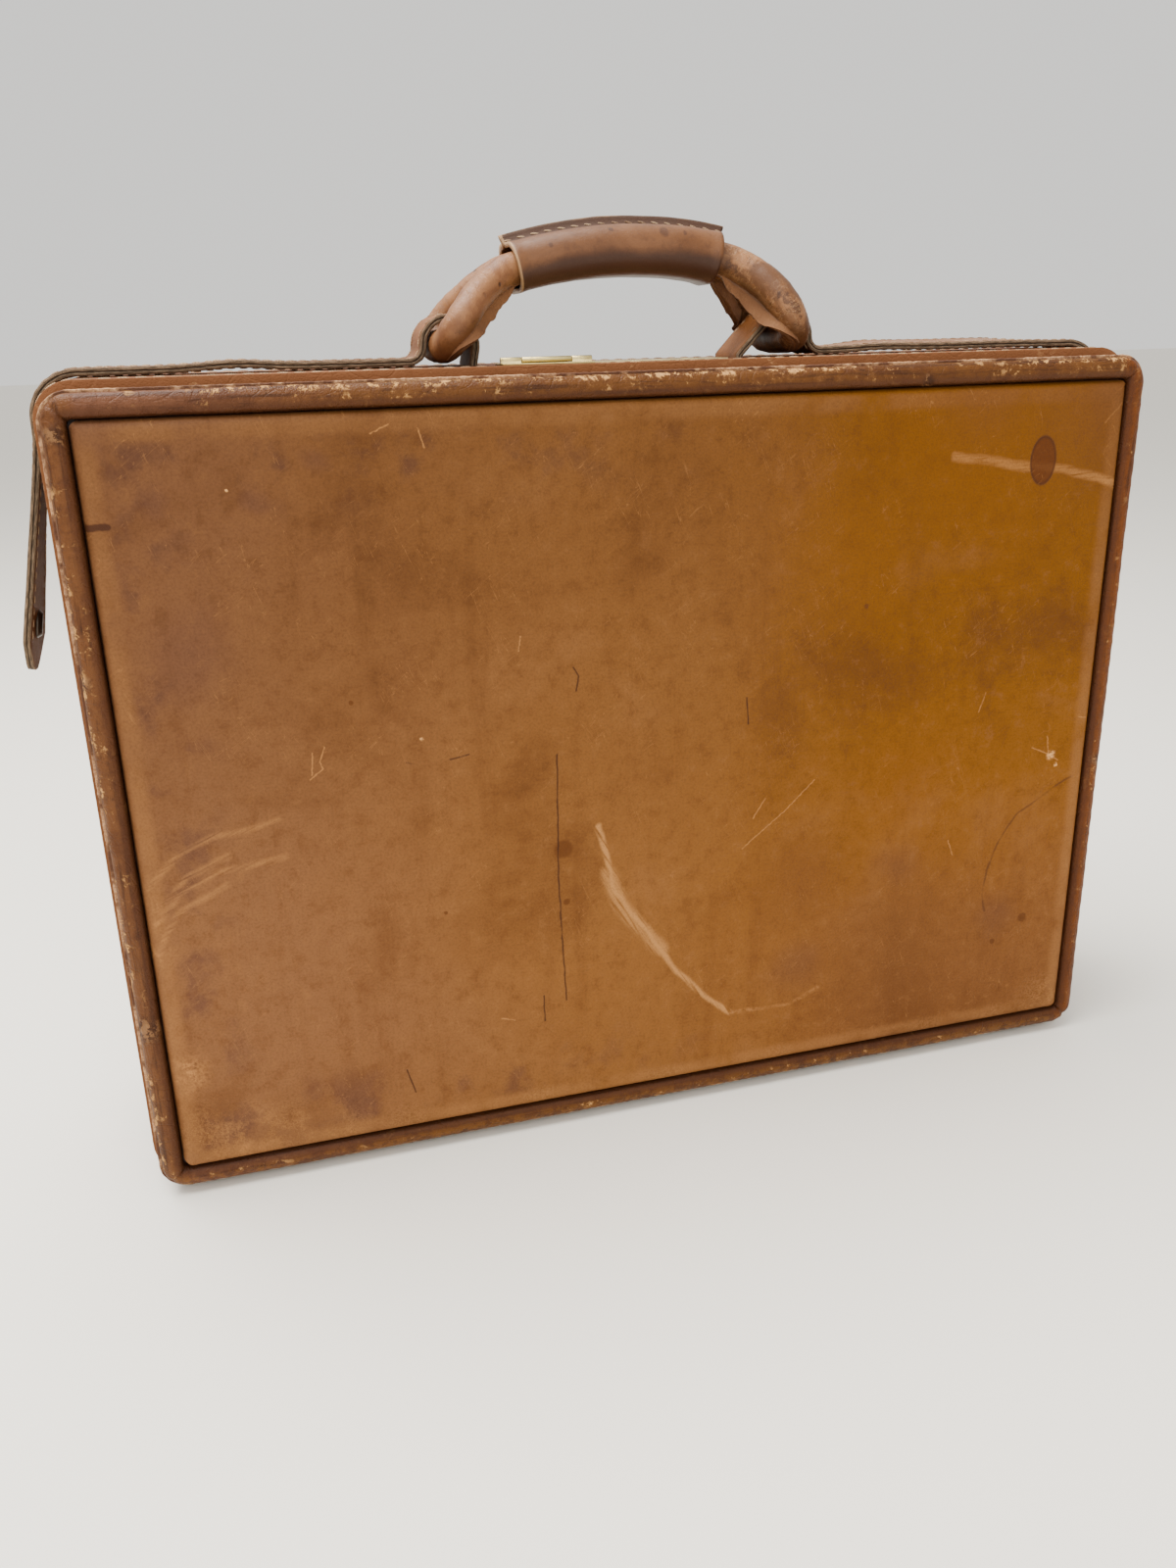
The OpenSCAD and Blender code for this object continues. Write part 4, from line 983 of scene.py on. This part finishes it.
def rolledBinding(name, side, body, node, material, seed):
    b = binding
    width, roll = b["width"], b["roll"]
    face = -case["frontY"]
    outline = [(0, face - b["skirt"]), (0, face - 12 * mm), (0, face - 7 * mm)]
    for i in range(17):
        a = math.pi * i / 16
        out = -width / 2 + width / 2 * math.cos(a) - 0.4 * mm * math.sin(a) ** 2
        outline.append((out, face - roll + roll * math.sin(a) ** 0.92))
    outline += [(-width, face - b["seat"]), (-b["thick"], face - b["seat"]), (-b["thick"], face - b["skirt"])]
    bm = ringSweep([(out, side * y) for out, y in outline], b["stride"], b["bends"])
    bm.normal_update()
    for vert in bm.verts:
        front = ease(abs(vert.co.y), face - roll - 1 * mm, face - 1 * mm)
        pinch = onDiagonal(vert.co) * b["pinch"] * front
        x, z = pastCorner(vert.co)
        near = math.hypot(max(0, x), max(0, z)) / case["corner"]
        gather = near * math.sin(vert.co.x * 900 + vert.co.z * 700) * b["gather"]
        vert.co -= vert.normal * (pinch + gather * front)
    unevenness(bm, b["waves"], seed)
    newPiece(name, bm, body, "band_leather", material, node)
    # The raw edge of the binding leather, drawn in at each stitch
    outline = [(-0.5, 4.2), (0.75, 4.1), (1.0, 4.4), (1.0, 5.0), (0.8, 5.3), (-0.5, 5.4)]
    bm = ringSweep([(out * mm, side * (face - back * mm)) for out, back in outline], b["edgeStride"], 14)
    for vert in bm.verts:
        level = abs(vert.co.z - case["midZ"]) / case["halfH"] > abs(vert.co.x) / case["halfW"]
        run = vert.co.x if level else vert.co.z
        scallop = abs(math.sin(run / b["scallop"] * math.pi)) * b["scallopDepth"]
        ragged = noise.noise(vert.co * 900) * b["ragged"]
        out = Vector((0, 0, vert.co.z - case["midZ"]) if level else (vert.co.x, 0, 0))
        vert.co += (scallop + ragged) * out.normalized()
    newPiece(name + "_edge", bm, body, "band_leather", finishes["cut"])


# Stitch rows on the side bands

sewing = {"pitch": 6.4 * mm, "length": 4.7 * mm, "width": 0.95 * mm, "inset": 3.1 * mm, "corner": 15 * mm}


# Matrices round the case at one depth, whose x runs along the band and z points outwards
def roundTheCase(y, pitch):
    corner = sewing["corner"]
    halfW, halfH = case["halfW"] + case["proud"], case["halfH"] + case["proud"]
    points = []
    for quarter in range(4):
        side = 1 if quarter in (0, 3) else -1
        rise = 1 if quarter < 2 else -1
        middle = Vector((side * (halfW - corner), y, case["midZ"] + rise * (halfH - corner)))
        for i in range(13):
            a = math.pi / 2 * (quarter + i / 12)
            points.append(middle + corner * Vector((math.cos(a), 0, math.sin(a))))
    frames = []
    for length, matrix in stationsAlong(points, pitch, lambda tangent: Vector((0, 1, 0)), loop=True):
        along = matrix.col[2].to_3d()
        out = Vector((0, 1, 0)).cross(along)
        if out.dot(matrix.translation - Vector((0, y, case["midZ"]))) < 0:
            out = -out
        frames.append(frameAt(matrix.translation, along, out.cross(along), out))
    return frames


def bandStitches(name, y, body, skip=lambda spot: False):
    frames = [m for m in roundTheCase(y, sewing["pitch"]) if not skip(m.translation)]
    for i, matrix in enumerate(frames):
        sway = math.radians(5 * math.sin(i * 2.3))
        frames[i] = matrix @ Matrix.Rotation(sway + math.radians(7), 4, "Z")
    stitches(name, frames, (sewing["length"], sewing["width"]), body, "band_leather")


# Handle, with its sizes in millimetres

handle = {"rollR": 6.5, "spread": 6.8, "toeX": 76, "toeZ": 348, "halfRing": 21.1, "gripZ": 383.6,
          "gripR": 200, "gripHalf": 45.5, "gripH": 20, "wrapHalf": 15.9, "finT": 4, "finH": 3.6,
          "leg": [(0.32, 0.25, 0.16), (0.59, 0.68, 0.38), (0.79, 1, 0.62), (0.92, 0.94, 0.83),
                  (0.97, 0.66, 0.965), (1, 0.2, 1)], "askew": 0.034, "tilt": 7,
          "drawnLeft": -0.8, "drawnRight": 3.4, "hide": 1.9, "stitches": 17, "stitch": (3.6 * mm, 0.7 * mm),
          "gripWaves": [(45, 0.28 * mm), (150, 0.10 * mm)]}


# The grip sits a little higher on the right than on the left
def setAskew(bm):
    for vert in bm.verts:
        vert.co.z += vert.co.x * handle["askew"] * ease(vert.co.z, 352 * mm, 378 * mm)


def ringLine():
    h = handle
    drop = h["gripR"] - math.sqrt(h["gripR"] ** 2 - h["gripHalf"] ** 2)
    endZ = h["gripZ"] - drop
    quarter = []
    for x in (0, h["gripHalf"] / 2, h["gripHalf"]):
        quarter.append((x, -h["spread"], h["gripZ"] - h["gripR"] + math.sqrt(h["gripR"] ** 2 - x * x)))
    for along, out, down in h["leg"]:
        quarter.append((h["gripHalf"] + (h["toeX"] - h["gripHalf"]) * along,
            -h["spread"] - (h["halfRing"] - h["spread"]) * out, endZ - (endZ - h["toeZ"]) * down))
    quarter.append((h["toeX"], 0, h["toeZ"]))
    points = list(quarter)
    points += [(x, -y, z) for x, y, z in reversed(quarter[:-1])]
    points += [(-x, -y, z) for x, y, z in quarter[1:]]
    points += [(-x, y, z) for x, y, z in reversed(quarter[1:-1])]
    return smoothLine([Vector(p) * mm for p in points], 8)


# How low the handle may hang at this y and still clear the case when it tilts
def clearTop(y):
    return case["topZ"] + 0.3 * mm + abs(y) * math.sin(math.radians(handle["tilt"]))


# A rolled tube whose sewn edges stand out below it as a raw flap
def handleRoll():
    radius = handle["rollR"] * mm
    flap = {"root": 15, "half": 1.6 * mm, "reach": 5.6 * mm, "spare": 0.6 * mm}
    outline = []
    for i in range(27):
        a = math.radians(-90 + flap["root"] + (360 - 2 * flap["root"]) * i / 26)
        outline.append((radius * math.cos(a), radius * math.sin(a)))
    half, tip = flap["half"], -radius - flap["reach"]
    ply = [(half, -radius - 0.3 * mm), (half, (tip - radius) / 2), (half, tip), (half * 0.5, tip - 0.3 * mm),
           (half * 0.15, tip + 0.1 * mm)]
    outline += [(-x, y) for x, y in ply] + [(0, tip + 0.9 * mm)] + ply[::-1]
    stations = stationsAlong(ringLine(), 1.6 * mm, lambda t: t.cross(Vector((0, 0, 1))), loop=True)
    share = {}
    for length, matrix in stations:
        spot = matrix.translation
        out = ease(abs(spot.x), 46 * mm, 54 * mm)
        inward = 0.6 + 0.4 * ease(abs(spot.y), 9 * mm, 16 * mm)
        # What the flap may reach before it meets the case when the handle tilts
        room = spot.z - radius - flap["spare"] - clearTop(spot.y)
        taper = ease(spot.z, 346 * mm, 364 * mm)
        share[length] = max(0.03, min(out * inward * taper, room / flap["reach"]))

    def reshape(length, x, y):
        if y < -radius:
            ragged = 1 + 0.10 * noise.noise(Vector((length * 700, x * 300, 0)))
            y = -radius + (y + radius) * share[length] * ragged - 0.02 * mm
            x += (y + radius) * 0.25 * math.sin(length * 60) * share[length]
        return x, y

    bm = sweep(outline, stations, reshape, loop=True)
    bm.normal_update()
    local = bm.verts.layers.float_vector["local"]
    for vert in bm.verts:
        legs = ease(abs(vert.co.x), 48 * mm, 54 * mm)
        length = vert[local][0]
        fold = noise.noise(Vector((length * 330, vert.co.y * 60, vert.co.z * 60))) * 0.30 * mm
        lump = noise.noise(vert.co * 70) * 0.42 * mm
        vert.co += vert.normal * (fold + lump) * legs
        vert.co.z = max(vert.co.z, clearTop(vert.co.y))
    setAskew(bm)
    newPiece("handle_roll_leather", bm, "handle", "roll_leather", rollLeather(), "handle_roll", crease=50)


# The ways out of the grip's bend and along it, at a length from its middle
def gripWays(length):
    a = length / handle["gripR"]
    return Vector((math.sin(a), 0, math.cos(a))), Vector((math.cos(a), 0, -math.sin(a)))


def gripOutline():
    halfH, fin = handle["gripH"] / 2, handle["finT"] / 2
    cap, top = handle["wrapHalf"] - halfH, halfH + handle["finH"]
    angles = [math.radians(-90 + 180 * i / 14) for i in range(15)]
    half = [(cap + halfH * math.cos(a), halfH * math.sin(a)) for a in angles]
    half += [(fin + 1.0, halfH + 0.05), (fin, halfH + 0.7), (fin, halfH + 2.4), (fin, top - 0.2),
             (fin - 0.4, top), (0.35, top - 0.05)]
    return half + [(0, top - 0.6)] + [(-x, y) for x, y in reversed(half)]


def handleGrip():
    h = handle
    halfH = h["gripH"] / 2
    centre = Vector((0, 0, (h["gripZ"] - h["gripR"]) * mm))
    stations = []
    for i in range(71):
        length = -h["gripHalf"] - 0.6 + (2 * h["gripHalf"] + 1.2) * i / 70
        radial, along = gripWays(length)
        spot = centre + radial * h["gripR"] * mm
        stations.append((length * mm, frameAt(spot, (0, 1, 0), radial, along)))

    def reshape(length, x, y):
        swell = 1 + 0.035 * ease(abs(length), 41 * mm, 46.1 * mm)
        lean = max(0, y - halfH * mm) * 0.5
        return x * swell + lean, y * (swell if y < halfH * mm else 1)

    bm = sweep([(x * mm, y * mm) for x, y in gripOutline()], stations, reshape, shut=False)
    unevenness(bm, h["gripWaves"], 3)
    local = bm.verts.layers.float_vector["local"]
    for vert in bm.verts:
        length, _, rise = vert[local]
        drawn = h["drawnLeft"] if length < 0 else h["drawnRight"]
        body = ease(rise, (halfH + 1.2) * mm, (halfH - 0.5) * mm) if rise > 0 else 1
        slip = drawn * ease(abs(length), 15 * mm, 46 * mm) * body / h["gripR"]
        vert.co = centre + Matrix.Rotation(-slip, 3, "Y") @ (vert.co - centre)
    setAskew(bm)
    piece = newPiece("handle_grip_leather", bm, "handle", "grip_leather", gripLeather(), "handle_grip",
        crease=50)
    giveWall(piece, h["hide"] * mm, -1)
    frames = []
    for side in (-1, 1):
        out = Vector((0, side, 0))
        for i in range(h["stitches"]):
            radial, along = gripWays(-44 + 88 * i / (h["stitches"] - 1))
            spot = centre + radial * (h["gripR"] + halfH + 0.75) * mm
            spot.y += side * (h["finT"] / 2 + 0.15) * mm + 0.35 * mm
            spot.z += spot.x * h["askew"]
            turn = Matrix.Rotation(math.radians(10 * side), 4, "Z")
            frames.append(frameAt(spot, along, out.cross(along), out) @ turn)
    stitches("grip_stitches", frames, h["stitch"], "handle", "grip_leather")


# Straps, each one leather from its slot over the handle's end and along the top to its hanging point,
# with their sizes in millimetres

strap = {"halfW": 12.5, "halfT": 1.5, "run": 1.8, "leftIn": 64.5, "rightIn": 52, "mortise": 7, "slack": 2.6,
         "bearing": 0.7, "gap": 0.3, "cornerR": 15, "tail": 97, "point": 13, "snap": 78, "leanLeft": 11,
         "leanRight": 2.8, "relax": 5, "stride": 1.6, "turnLeft": 7, "turnRight": 3.2, "pitch": 4.6,
         "stitchIn": 2.8, "stitch": (3.3 * mm, 0.75 * mm), "waves": [(60, 0.14 * mm), (260, 0.05 * mm)]}


def strapLine(entryX, lean):
    s = strap
    top = case["topZ"] / mm
    edge = (case["halfW"] + case["proud"]) / mm
    toe = Vector((handle["toeX"] - s["slack"] + s["bearing"], handle["toeZ"]))
    archR = handle["rollR"] + s["slack"] + s["run"]
    runZ = top + s["gap"] + s["run"]
    footR = toe.y - runZ
    entry = Vector((entryX, top + 1))
    away = entry - toe
    start = 360 + math.degrees(math.atan2(away.y, away.x) - math.acos(archR / away.length))
    cornerX, cornerZ, cornerR = edge - s["cornerR"], top - s["cornerR"], s["cornerR"] + s["gap"] + s["run"]
    points = [Vector((entryX, 0, top + rise)) for rise in (-s["mortise"], -3, 1)]
    points += arcPoints(toe.x, toe.y, archR, start, 0, 18)
    points += arcPoints(toe.x + archR + footR, toe.y, footR, 186, 270, 10)
    points += arcPoints(cornerX, cornerZ, cornerR, 90, 0, 14)
    pivot = Vector((cornerX + cornerR, 0, cornerZ - s["gap"] - s["run"]))
    slope = math.sin(math.radians(lean))
    for i in range(1, 31):
        down = s["tail"] * i / 30
        swing = slope * (down - s["relax"] * (1 - math.exp(-down / s["relax"])))
        points.append(pivot + Vector((swing, 0, -down * math.cos(math.radians(lean)))))
    return points, pivot


def strapOutline():
    halfW, halfT = strap["halfW"], strap["halfT"]
    dip = 0.22  # how far the glued seam lies back from the edge
    half = [(halfW - 0.5, -halfT), (halfW - 0.1, -halfT + 0.35), (halfW, -halfT + 0.8), (halfW, -dip * 1.4),
            (halfW - dip, 0), (halfW, dip * 1.4), (halfW, halfT - 0.8), (halfW - 0.1, halfT - 0.35),
            (halfW - 0.5, halfT), (halfW - 2.2, halfT), (halfW - 3.4, halfT - 0.05), (4, halfT), (0, halfT),
            (-4, halfT), (3.4 - halfW, halfT - 0.05), (2.2 - halfW, halfT)]
    return [(x * mm, y * mm) for x, y in half] + [(-x * mm, -y * mm) for x, y in half]


def handleStrap(side):
    s = strap
    word, left = ("left", True) if side < 0 else ("right", False)
    lean = s["leanLeft"] if left else s["leanRight"]
    points, pivot = strapLine(s["leftIn"] if left else s["rightIn"], lean)
    line = [Vector((side * p.x, 0, p.z)) * mm for p in points]
    stations = stationsAlong(line, s["stride"] * mm, lambda tangent: Vector((0, 1, 0)))
    total = stations[-1][0]
    bent = []
    for length, matrix in stations:
        x = abs(matrix.translation.x) / mm
        top = 1 if matrix.translation.z > case["topZ"] else 0
        run = ease(x, 100, 125) * ease(x, 212, 180) * top if x < 212 else 0
        if left:
            lift = 1.3 * math.exp(-((x - 159) / 15) ** 2) * top
            fallen = ease(pivot.z - matrix.translation.z / mm, 4, s["tail"])
            turn = math.radians(s["turnLeft"]) * -fallen * (1 - top)
        else:
            lift = run + 0.5 * math.exp(-((x - 120) / 16) ** 2) * top
            turn = math.radians(s["turnRight"]) * run
        arch = ease(x, 96, 84) * ease(x, 54, 66) * top
        twist = Matrix.Rotation(turn * -side, 4, "Z")
        shift = Matrix.Translation(Vector((0, arch * 0.4 * mm, lift * mm)))
        bent.append((length, shift @ matrix @ twist))

    def reshape(length, x, y):
        remaining = total - length
        share = 1 if remaining > s["point"] * mm else 0.14 + 0.86 * (remaining / (s["point"] * mm)) ** 0.8
        wander = 0.25 * mm * noise.noise(Vector((length * 45, side, 0)))
        return x * share + wander, y

    bm = sweep(strapOutline(), bent, reshape)
    unevenness(bm, s["waves"], side + 5)
    name = word + "_strap_leather"
    piece = newPiece(name, bm, None, "strap_leather", finishes["strap"], word + "_handle_strap",
        word + "_strap_tail", crease=50)
    # Both rows of stitches, which bend with the strap
    frames = []
    count = int(total / (s["pitch"] * mm))
    for i in range(4, count - 3):
        matrix = bent[round((i + 0.5) / count * (len(bent) - 1))][1]
        for across in (-1, 1):
            for face in (-1, 1):
                x, y = across * (s["halfW"] - s["stitchIn"]), face * (s["halfT"] + 0.05)
                spot = matrix @ Vector((x * mm, y * mm, 0))
                along, out = matrix.col[2].to_3d(), matrix.col[1].to_3d() * face
                frames.append(frameAt(spot, along, out.cross(along), out))
    sewn = stitches(name + "_stitches", frames, s["stitch"], None, "strap_leather")
    for part in (piece, sewn):
        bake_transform(part)
    snapPieces(side, word, pivot, lean)


# The socket and cap of a snap, pressed through the strap's end
def snapPieces(side, word, pivot, lean):
    slope, halfT = math.radians(lean), strap["halfT"]
    spot = pivot + Vector((math.sin(slope), 0, -math.cos(slope))) * strap["snap"]
    across, out = Vector((0, 1, 0)), Vector((side * math.cos(slope), 0, math.sin(slope)))
    matrix = frameAt(Vector((side * spot.x, 0, spot.z)) * mm, across, out.cross(across), out)
    if side < 0:
        matrix = matrix @ Matrix.Rotation(math.radians(-strap["turnLeft"] * 0.85), 4, "Y")
    socket = [(0.0, -1.3), (2.9, -1.3), (2.9, -2.2), (3.3, -2.5), (4.6, -2.4), (5.3, -1.5), (5.9, -0.9),
              (6.0, -0.3), (5.8, 0.1), (0.0, 0.1)]
    cap = [(0.0, 1.15), (2.6, 1.1), (4.4, 0.95), (5.6, 0.7), (6.3, 0.35), (6.4, 0), (6.0, -0.2), (0.0, -0.2)]
    for part, profile, level in (("socket", socket, -halfT), ("cap", cap, halfT)):
        bm = lathe([(radius, level + height) for radius, height in profile], matrix)
        name = word + "_snap_" + part
        piece = newPiece(name + "_metal", bm, word + "_tail", "snap_metal", finishes["snap"])
        if part == "socket":
            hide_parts(name)


# Inside

inside = {"wall": 9.7 * mm, "floor": 10.2 * mm, "corner": 2.2 * mm, "cloth": 0.7 * mm, "sunk": 0.35 * mm,
          "lipCorner": 2.6 * mm}


def lining(name, side, body, node, mouth):
    halfW, halfH = case["halfW"] - inside["wall"], case["halfH"] - inside["wall"]
    deep = side * (-case["frontY"] - inside["floor"])
    bm = bmesh.new()
    bmesh.ops.create_cube(bm, size=2, matrix=Matrix.Translation((0, (deep + mouth) / 2, case["midZ"]))
        @ Matrix.Diagonal((halfW, abs(deep - mouth) / 2, halfH, 1)))
    front = [face for face in bm.faces if abs(face.calc_center_median().y - mouth) < 1e-6]
    bmesh.ops.delete(bm, geom=front, context="FACES")
    edges = [edge for edge in bm.edges if not edge.is_boundary]
    roundEdges(bm, edges, inside["corner"], 3)
    long = [edge for edge in bm.edges if edge.calc_length() > 40 * mm]
    bmesh.ops.subdivide_edges(bm, edges=long, cuts=22, use_grid_fill=True)
    bmesh.ops.recalc_face_normals(bm, faces=bm.faces)
    bm.normal_update()
    for vert in bm.verts:
        if not vert.is_boundary:
            push = noise.noise(vert.co * 16) * 0.35 * mm + noise.noise(vert.co * 55) * 0.12 * mm
            vert.co -= vert.normal * (push - inside["sunk"])
    piece = newPiece(name, bm, body, "lining_cloth", finishes["lining"], node, crease=60)
    giveWall(piece, inside["cloth"])


def closingLip():
    outline = [(-2.5, -5), (-2.3, -5.35), (-1.5, -5.5), (-0.7, -5.35), (-0.5, -5), (-0.5, 0.4), (0, 0.6),
               (0, 8), (-2.0, 8), (-2.4, 7.4), (-2.6, 4), (-2.6, 0)]
    outline = [(out * mm, case["parting"] + y * mm) for out, y in outline]
    bm = ringSweep(outline, 6 * mm, 5, inside["wall"], inside["lipCorner"])
    unevenness(bm, [(60, 0.10 * mm)], 8)
    newPiece("closing_lip_leather", bm, "case_body", "lining_cloth", finishes["inside"], "closing_lip")


def documentPocket():
    low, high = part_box("document_pocket")
    pocket = {"bulge": 1.4 * mm, "crease": 0.5 * mm, "thick": 1.8 * mm, "hem": 12 * mm, "stitches": 76,
              "stitch": (3.4 * mm, 0.8 * mm), "stitchIn": 8 * mm}
    wide, tall = high.x - low.x, high.z - low.z
    back = high.y - pocket["thick"] - pocket["bulge"]

    def bulged(u, v):
        bow = (1 - (2 * u) ** 4) * (0.35 + 0.65 * (v + 0.5)) * ease(v + 0.5, 0, 0.25)
        return back + bow * (pocket["bulge"] + noise.noise(Vector((u * 9, v * 5, 3))) * pocket["crease"])

    bm = bmesh.new()
    bmesh.ops.create_grid(bm, x_segments=60, y_segments=32, size=0.5)
    for vert in bm.verts:
        u, v = vert.co.x, vert.co.y
        corner = ease(abs(u), 0.47, 0.5) * ease(-v, 0.46, 0.5) * 2 * mm
        x = low.x + wide * (u + 0.5) - math.copysign(corner, u)
        vert.co = (x, bulged(u, v), low.z + tall * (v + 0.5) + corner)
    rim = []
    for edge in bm.edges:
        zs = [vert.co.z for vert in edge.verts]
        if edge.is_boundary and (max(zs) < high.z - 1 * mm or max(zs) - min(zs) > 1 * mm):
            rim.append(edge)
    carry(bm, rim, 3, move=(0, (low.y + 0.4 * mm - back) / 3, 0))
    closeUp(bm)
    piece = newPiece("document_pocket_leather", bm, "lid", "pocket_leather", finishes["inside"],
        "document_pocket", crease=50)
    giveWall(piece, pocket["thick"] * 0.8)
    giveBevel(piece, 0.35 * mm, 2, 30)
    frames = []
    for z in (high.z - 3 * mm, high.z - pocket["hem"]):
        for i in range(pocket["stitches"]):
            share = i / (pocket["stitches"] - 1)
            x = low.x + pocket["stitchIn"] + (wide - 2 * pocket["stitchIn"]) * share
            y = bulged((x - low.x) / wide - 0.5, (z - low.z) / tall - 0.5) + pocket["thick"] * 0.42
            frames.append(frameAt((x, y, z), (1, 0, 0), (0, 0, 1), (0, 1, 0)))
    stitches("pocket_stitches", frames, pocket["stitch"], "lid", "pocket_leather")


def penLoops():
    low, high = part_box("pen_loops")
    loop = {"count": 3, "pitch": 40 * mm, "first": -60 * mm, "inner": 6 * mm, "thick": 1.4 * mm,
            "stitches": 6, "stitchPitch": 3.8 * mm, "stitch": (2.6 * mm, 0.7 * mm)}
    bm = bmesh.new()
    strip = Matrix.Translation(((low.x + high.x) / 2, low.y + loop["thick"] / 2, (low.z + high.z) / 2))
    size = (high.x - low.x, loop["thick"], high.z - low.z, 1)
    bmesh.ops.create_cube(bm, size=1, matrix=strip @ Matrix.Diagonal(size))
    roundEdges(bm, bm.edges[:], 0.4 * mm, 2)
    for i in range(loop["count"]):
        x, y = loop["first"] + i * loop["pitch"], low.y + loop["inner"] + loop["thick"]
        middle = Vector((x, y, (low.z + high.z) / 2))
        section = [(0.1, -9), (1.1, -9), (1.4, -8.6), (1.4, 8.6), (1.1, 9), (0.1, 9), (0, 8.6), (0, -8.6)]
        points = [bm.verts.new(middle + Vector((loop["inner"] + out * mm, 0, rise * mm)))
                  for out, rise in section]
        edges = [bm.edges.new(pair) for pair in zip(points, points[1:] + points[:1])]
        turned(bm, edges, middle, 30)
    bmesh.ops.remove_doubles(bm, verts=bm.verts, dist=0.00001)
    bmesh.ops.recalc_face_normals(bm, faces=bm.faces)
    newPiece("pen_loops_leather", bm, "lid", "pocket_leather", finishes["inside"], "pen_loops")
    frames = []
    for i in range(loop["count"] + 1):
        x = min(max(loop["first"] + (i - 0.5) * loop["pitch"], low.x + 4 * mm), high.x - 4 * mm)
        for k in range(loop["stitches"]):
            z = (low.z + high.z) / 2 + (k - (loop["stitches"] - 1) / 2) * loop["stitchPitch"]
            spot = (x, low.y + loop["thick"] + 0.1 * mm, z)
            frames.append(frameAt(spot, (0, 0, 1), (1, 0, 0), (0, 1, 0)))
    stitches("pen_loop_stitches", frames, loop["stitch"], "lid", "pocket_leather")


# Everything in order

print("studio")
makeCamera()
makeStudio()

print("finishes")
finishes = {
    "frontFace": faceLeather("front face leather", True),
    "rearFace": faceLeather("rear face leather", False),
    "frontBinding": bindingLeather("front binding leather", -1),
    "rearBinding": bindingLeather("rear binding leather", 1),
    "lidBand": bandLeather("lid band leather", case["lidStep"]),
    "bodyBand": bandLeather("body band leather", case["bodyStep"]),
    "cut": cutLeather(),
    "strap": strapLeather(),
    "inside": insideLeather(),
    "thread": threadCord(),
    "lining": liningCloth(),
    "shell": plainWood("shell wood", (0.50, 0.36, 0.20), (0.34, 0.21, 0.10), (20, 240, 240)),
    # The board's last colour is painted shade for its rim in the groove
    "board": plainWood("board wood", (0.40, 0.28, 0.15), (0.26, 0.16, 0.08), (14, 300, 160),
                       (0.018, 0.006, 0.004)),
    "lockBrass": metal("lock brass", (0.62, 0.50, 0.22), (0.42, 0.31, 0.12), (0.08, 0.06, 0.03), 0.30),
    "innerBrass": metal("inner brass", (0.66, 0.50, 0.24), (0.40, 0.28, 0.12), (0.08, 0.06, 0.03), 0.36, 0.8),
    "stay": metal("stay brass", (0.74, 0.58, 0.30), (0.50, 0.37, 0.17), (0.10, 0.08, 0.05), 0.30),
    "snap": metal("snap metal", (0.085, 0.070, 0.058), (0.045, 0.036, 0.030), (0.20, 0.13, 0.07), 0.36, 0.7),
}

print("faces and bindings")
paddedFace("front_face_leather", -1, "lid", "front_panel", finishes["frontFace"], 1)
paddedFace("rear_face_leather", 1, "case_body", "rear_panel", finishes["rearFace"], 6)
rolledBinding("front_binding_leather", -1, "lid", "front_binding", finishes["frontBinding"], 2)
rolledBinding("rear_binding_leather", 1, "case_body", "rear_binding", finishes["rearBinding"], 9)

print("side bands")
repaint("lidBand", "lid_band_leather")
repaint("bodyBand", "body_band_leather")
soften(0.7, 3, "lid_band_leather", "body_band_leather")
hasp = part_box("hasp_plate")
bandStitches("lid_band_stitches", case["lidStep"] + sewing["inset"], "lid",
    lambda p: p.z > case["topZ"] - 1 * mm and hasp[0].x - 3 * mm < p.x < hasp[1].x + 3 * mm)
bandStitches("body_band_stitches", case["bodyStep"] - sewing["inset"], "case_body")

print("handle and straps")
handleRoll()
handleGrip()
handleStrap(-1)
handleStrap(1)

print("inside")
lining("body_lining_cloth", 1, "case_body", "body_lining", case["parting"] + 0.5 * mm)
lining("lid_lining_cloth", -1, "lid", "lid_lining", case["parting"] - 0.5 * mm)
closingLip()
documentPocket()
penLoops()

print("wood and metal")
dials = ["dial_1", "dial_2", "dial_3"]
studs = ["left_snap_stud", "right_snap_stud"]
stays = [side + half + "_stay" for side in ("left_", "right_") for half in ("body", "lid")]
plates = ["lock_plate", "hasp_plate", "hasp_tongue"]
repaint("shell", "body_frame", "lid_frame")
repaint("board", "front_board", "rear_board")
repaint("lockBrass", "release_button", "hasp_pin", "lock_screws", "hasp_screws", *plates, *dials)
repaint("innerBrass", "lock_case", "dial_axle", "body_hinge_leaf", "lid_hinge_leaf", "hinge_pin")
repaint("stay", "body_stay_rivets", "lid_stay_rivets", *stays)
repaint("snap", *studs)
soften(0.18, 2, *plates)
soften(0.35, 2, "release_button")
soften(0.3, 2, *stays)
soften(0.2, 2, *dials, *studs)
